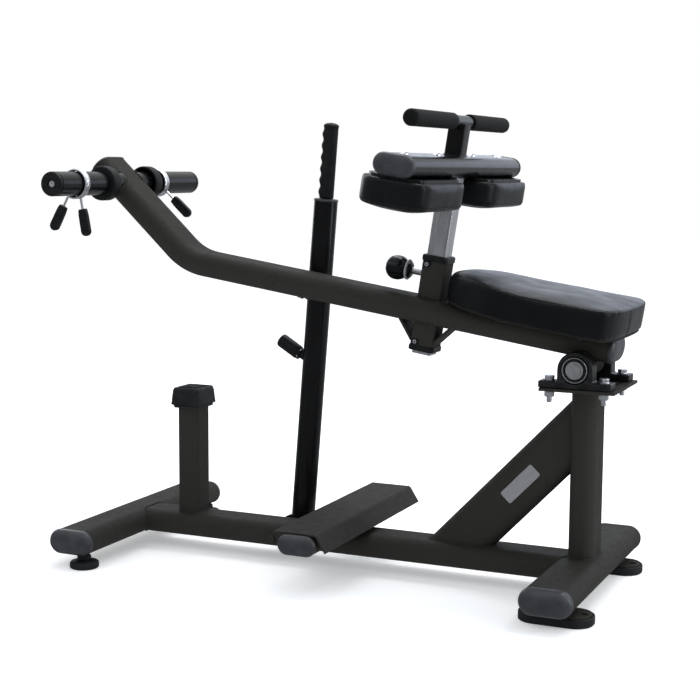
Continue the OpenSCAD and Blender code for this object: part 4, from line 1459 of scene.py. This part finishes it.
def frame_welds():
    rail, upright, plate = span("main_rail"), span("rear_upright"), span("badge_plate")
    middle = (rail[0].z + rail[1].z) / 2
    w, h, d = rail[1].y - rail[0].y, rail[1].z - rail[0].z, upright[1].x - upright[0].x
    up = Vector((cos(BRACE_ANGLE), 0, sin(BRACE_ANGLE)))
    across = Vector((-sin(BRACE_ANGLE), 0, cos(BRACE_ANGLE)))
    centre = ((plate[0].x + plate[1].x) / 2, 0, (plate[0].z + plate[1].z) / 2)
    post = span("stop_post")
    x, z = (post[0].x + post[1].x) / 2, (post[0].z + post[1].z) / 2
    square = rounded(*SQUARE)
    shape = Shape()
    for seed, (outline, place, target) in enumerate((
            (oval(w, h), axes(Y, -X, (-0.7, 0, middle)), "front_foot_tube"),
            (oval(w, h), axes(-Y, X, (-0.4, 0, middle)), "rear_foot_tube"),
            (oval(w, d), axes(Y, -Z, (0, 0, 0.3)), "rear_foot_tube"),
            (oval(w, d), axes(Y, Z, (0, 0, 0.3)), "bearing_plate"),
            (oval(w, d), axes(across, up, centre), "rear_upright"),
            (oval(w, d), axes(across, -up, centre), "main_rail"),
            (square, axes(X, -Z, (x, 0, z)), "main_rail"),
            (inset(square, 0.5 * MM), axes(X, Z, (x, 0, post[1].z - 10 * MM)), "stop_post")), 1):
        bead(shape, outline, place, target, BEAD, seed)
    bar = span("footrest_bar")
    x, half = (bar[0].x + bar[1].x) / 2, 34 * MM
    for side in (-1, 1):
        line = [Vector((x + side * 27 * MM, -half + 2 * half * k / 40, bar[0].z + 0.9 * MM))
                for k in range(41)]
        shape.tube(line, lambda i: BEAD * (1 + 0.13 * sin(i * 1.3)), 8)
    for side in (-1, 1):
        y = side * span("rear_rubber_feet")[1].y - side * 40 * MM
        bead(shape, rounded(*FOOT_STEM), axes(X, Z, (0, y, 20 * MM)),
             "rear_foot_tube", 2 * MM, 9)
        bead(shape, rounded(*FOOT_STEM), axes(X, -Z, (0, y, 26 * MM)),
             "rear_foot_flanges", 2 * MM, 10)
    piece("frame_welds", shape, "frame", "frame_paint", sharp=80)


def lever_welds():
    def at(z, way):
        return LEVER @ Matrix.Translation((0, 0, z)) @ axes(X, way)

    square = rounded(*SQUARE)
    shape = Shape()
    bead(shape, square, at(70 * MM, -Z), "lever_tube", BEAD, 11)
    bead(shape, square, at(-55 * MM, Z), "lever_tube", BEAD, 12)
    flange = span("weight_flanges")
    x, z = (flange[0].x + flange[1].x) / 2, (flange[0].z + flange[1].z) / 2
    for side in (-1, 1):
        bead(shape, circle(24 * MM, 60), axes(X, -Y * side, (x, side * 75 * MM, z)),
             "lever_tube", 2.8 * MM, 13 + side)
    piece("lever_welds", shape, "lever", "frame_paint", sharp=80)
    shape = Shape()
    top = span("pad_crossbar", LEVER)[1].z
    for seed, (outline, place, target) in enumerate((
            (rounded(*HANDLE_TUBE), at(top + 30 * MM, -Z), "pad_crossbar"),
            (rounded(24 * MM, 36 * MM, 4 * MM), at(top + 30 * MM, Z), "handle_bar"),
            (rounded(40 * MM, 40 * MM, 4 * MM), at(top - 70 * MM, Z), "pad_crossbar")), 15):
        bead(shape, outline, place, target, 2.3 * MM, seed)
    piece("carriage_welds", shape, "knee_pad_carriage", "gloss_paint", sharp=80)


# ---- CAD nodes that stay as they are ----

SOFTENED = {"seat_straps": 1.2, "socket_gussets": 1.0, "bearing_plate": 1.2, "seat_board": 1.5,
            "knee_boards": 2.0, "pivot_hub": 0.8, "pivot_shaft": 0.8, "pin_housing": 0.5,
            "catch_pivot_bolt": 0.8, "catch_pin": 1.2, "button_screws": 0.5, "pad_bolts": 0.5,
            "bearing_inner_rings": 0.5, "seat_bolts": 0.4}
LOOK_OF = {"seat_bolts": "black_plastic", "pivot_shaft": "shaft_steel",
           "bearing_inner_rings": "shaft_steel", "pin_housing": "shaft_steel",
           "knee_boards": "gloss_paint"}


def dress_cad():
    for node, obj in frame["nodes"].items():
        obj.data.materials.clear()
        obj.data.materials.append(LOOKS[LOOK_OF.get(node, SLOT[node])])
        if node in SOFTENED:
            join = obj.modifiers.new("join", "WELD")
            join.merge_threshold = 0.02 * MM
            round_off = obj.modifiers.new("round_off", "BEVEL")
            round_off.width = SOFTENED[node] * MM
            round_off.segments = 3
            round_off.limit_method = "ANGLE"
            round_off.angle_limit = radians(40)
            round_off.harden_normals = False


# ---- everything ----

studio()
camera()
dress_cad()
end_caps()
stop()
footrest()
badge()
bearing_bolts()
cast_housings()
rear_feet()
levelling_feet()
socket()
post()
knob()
handle()
catch_cap()
catch_grip()
catch_pegs()
sleeves()
collars()
seat()
knee_pads()
frame_welds()
lever_welds()
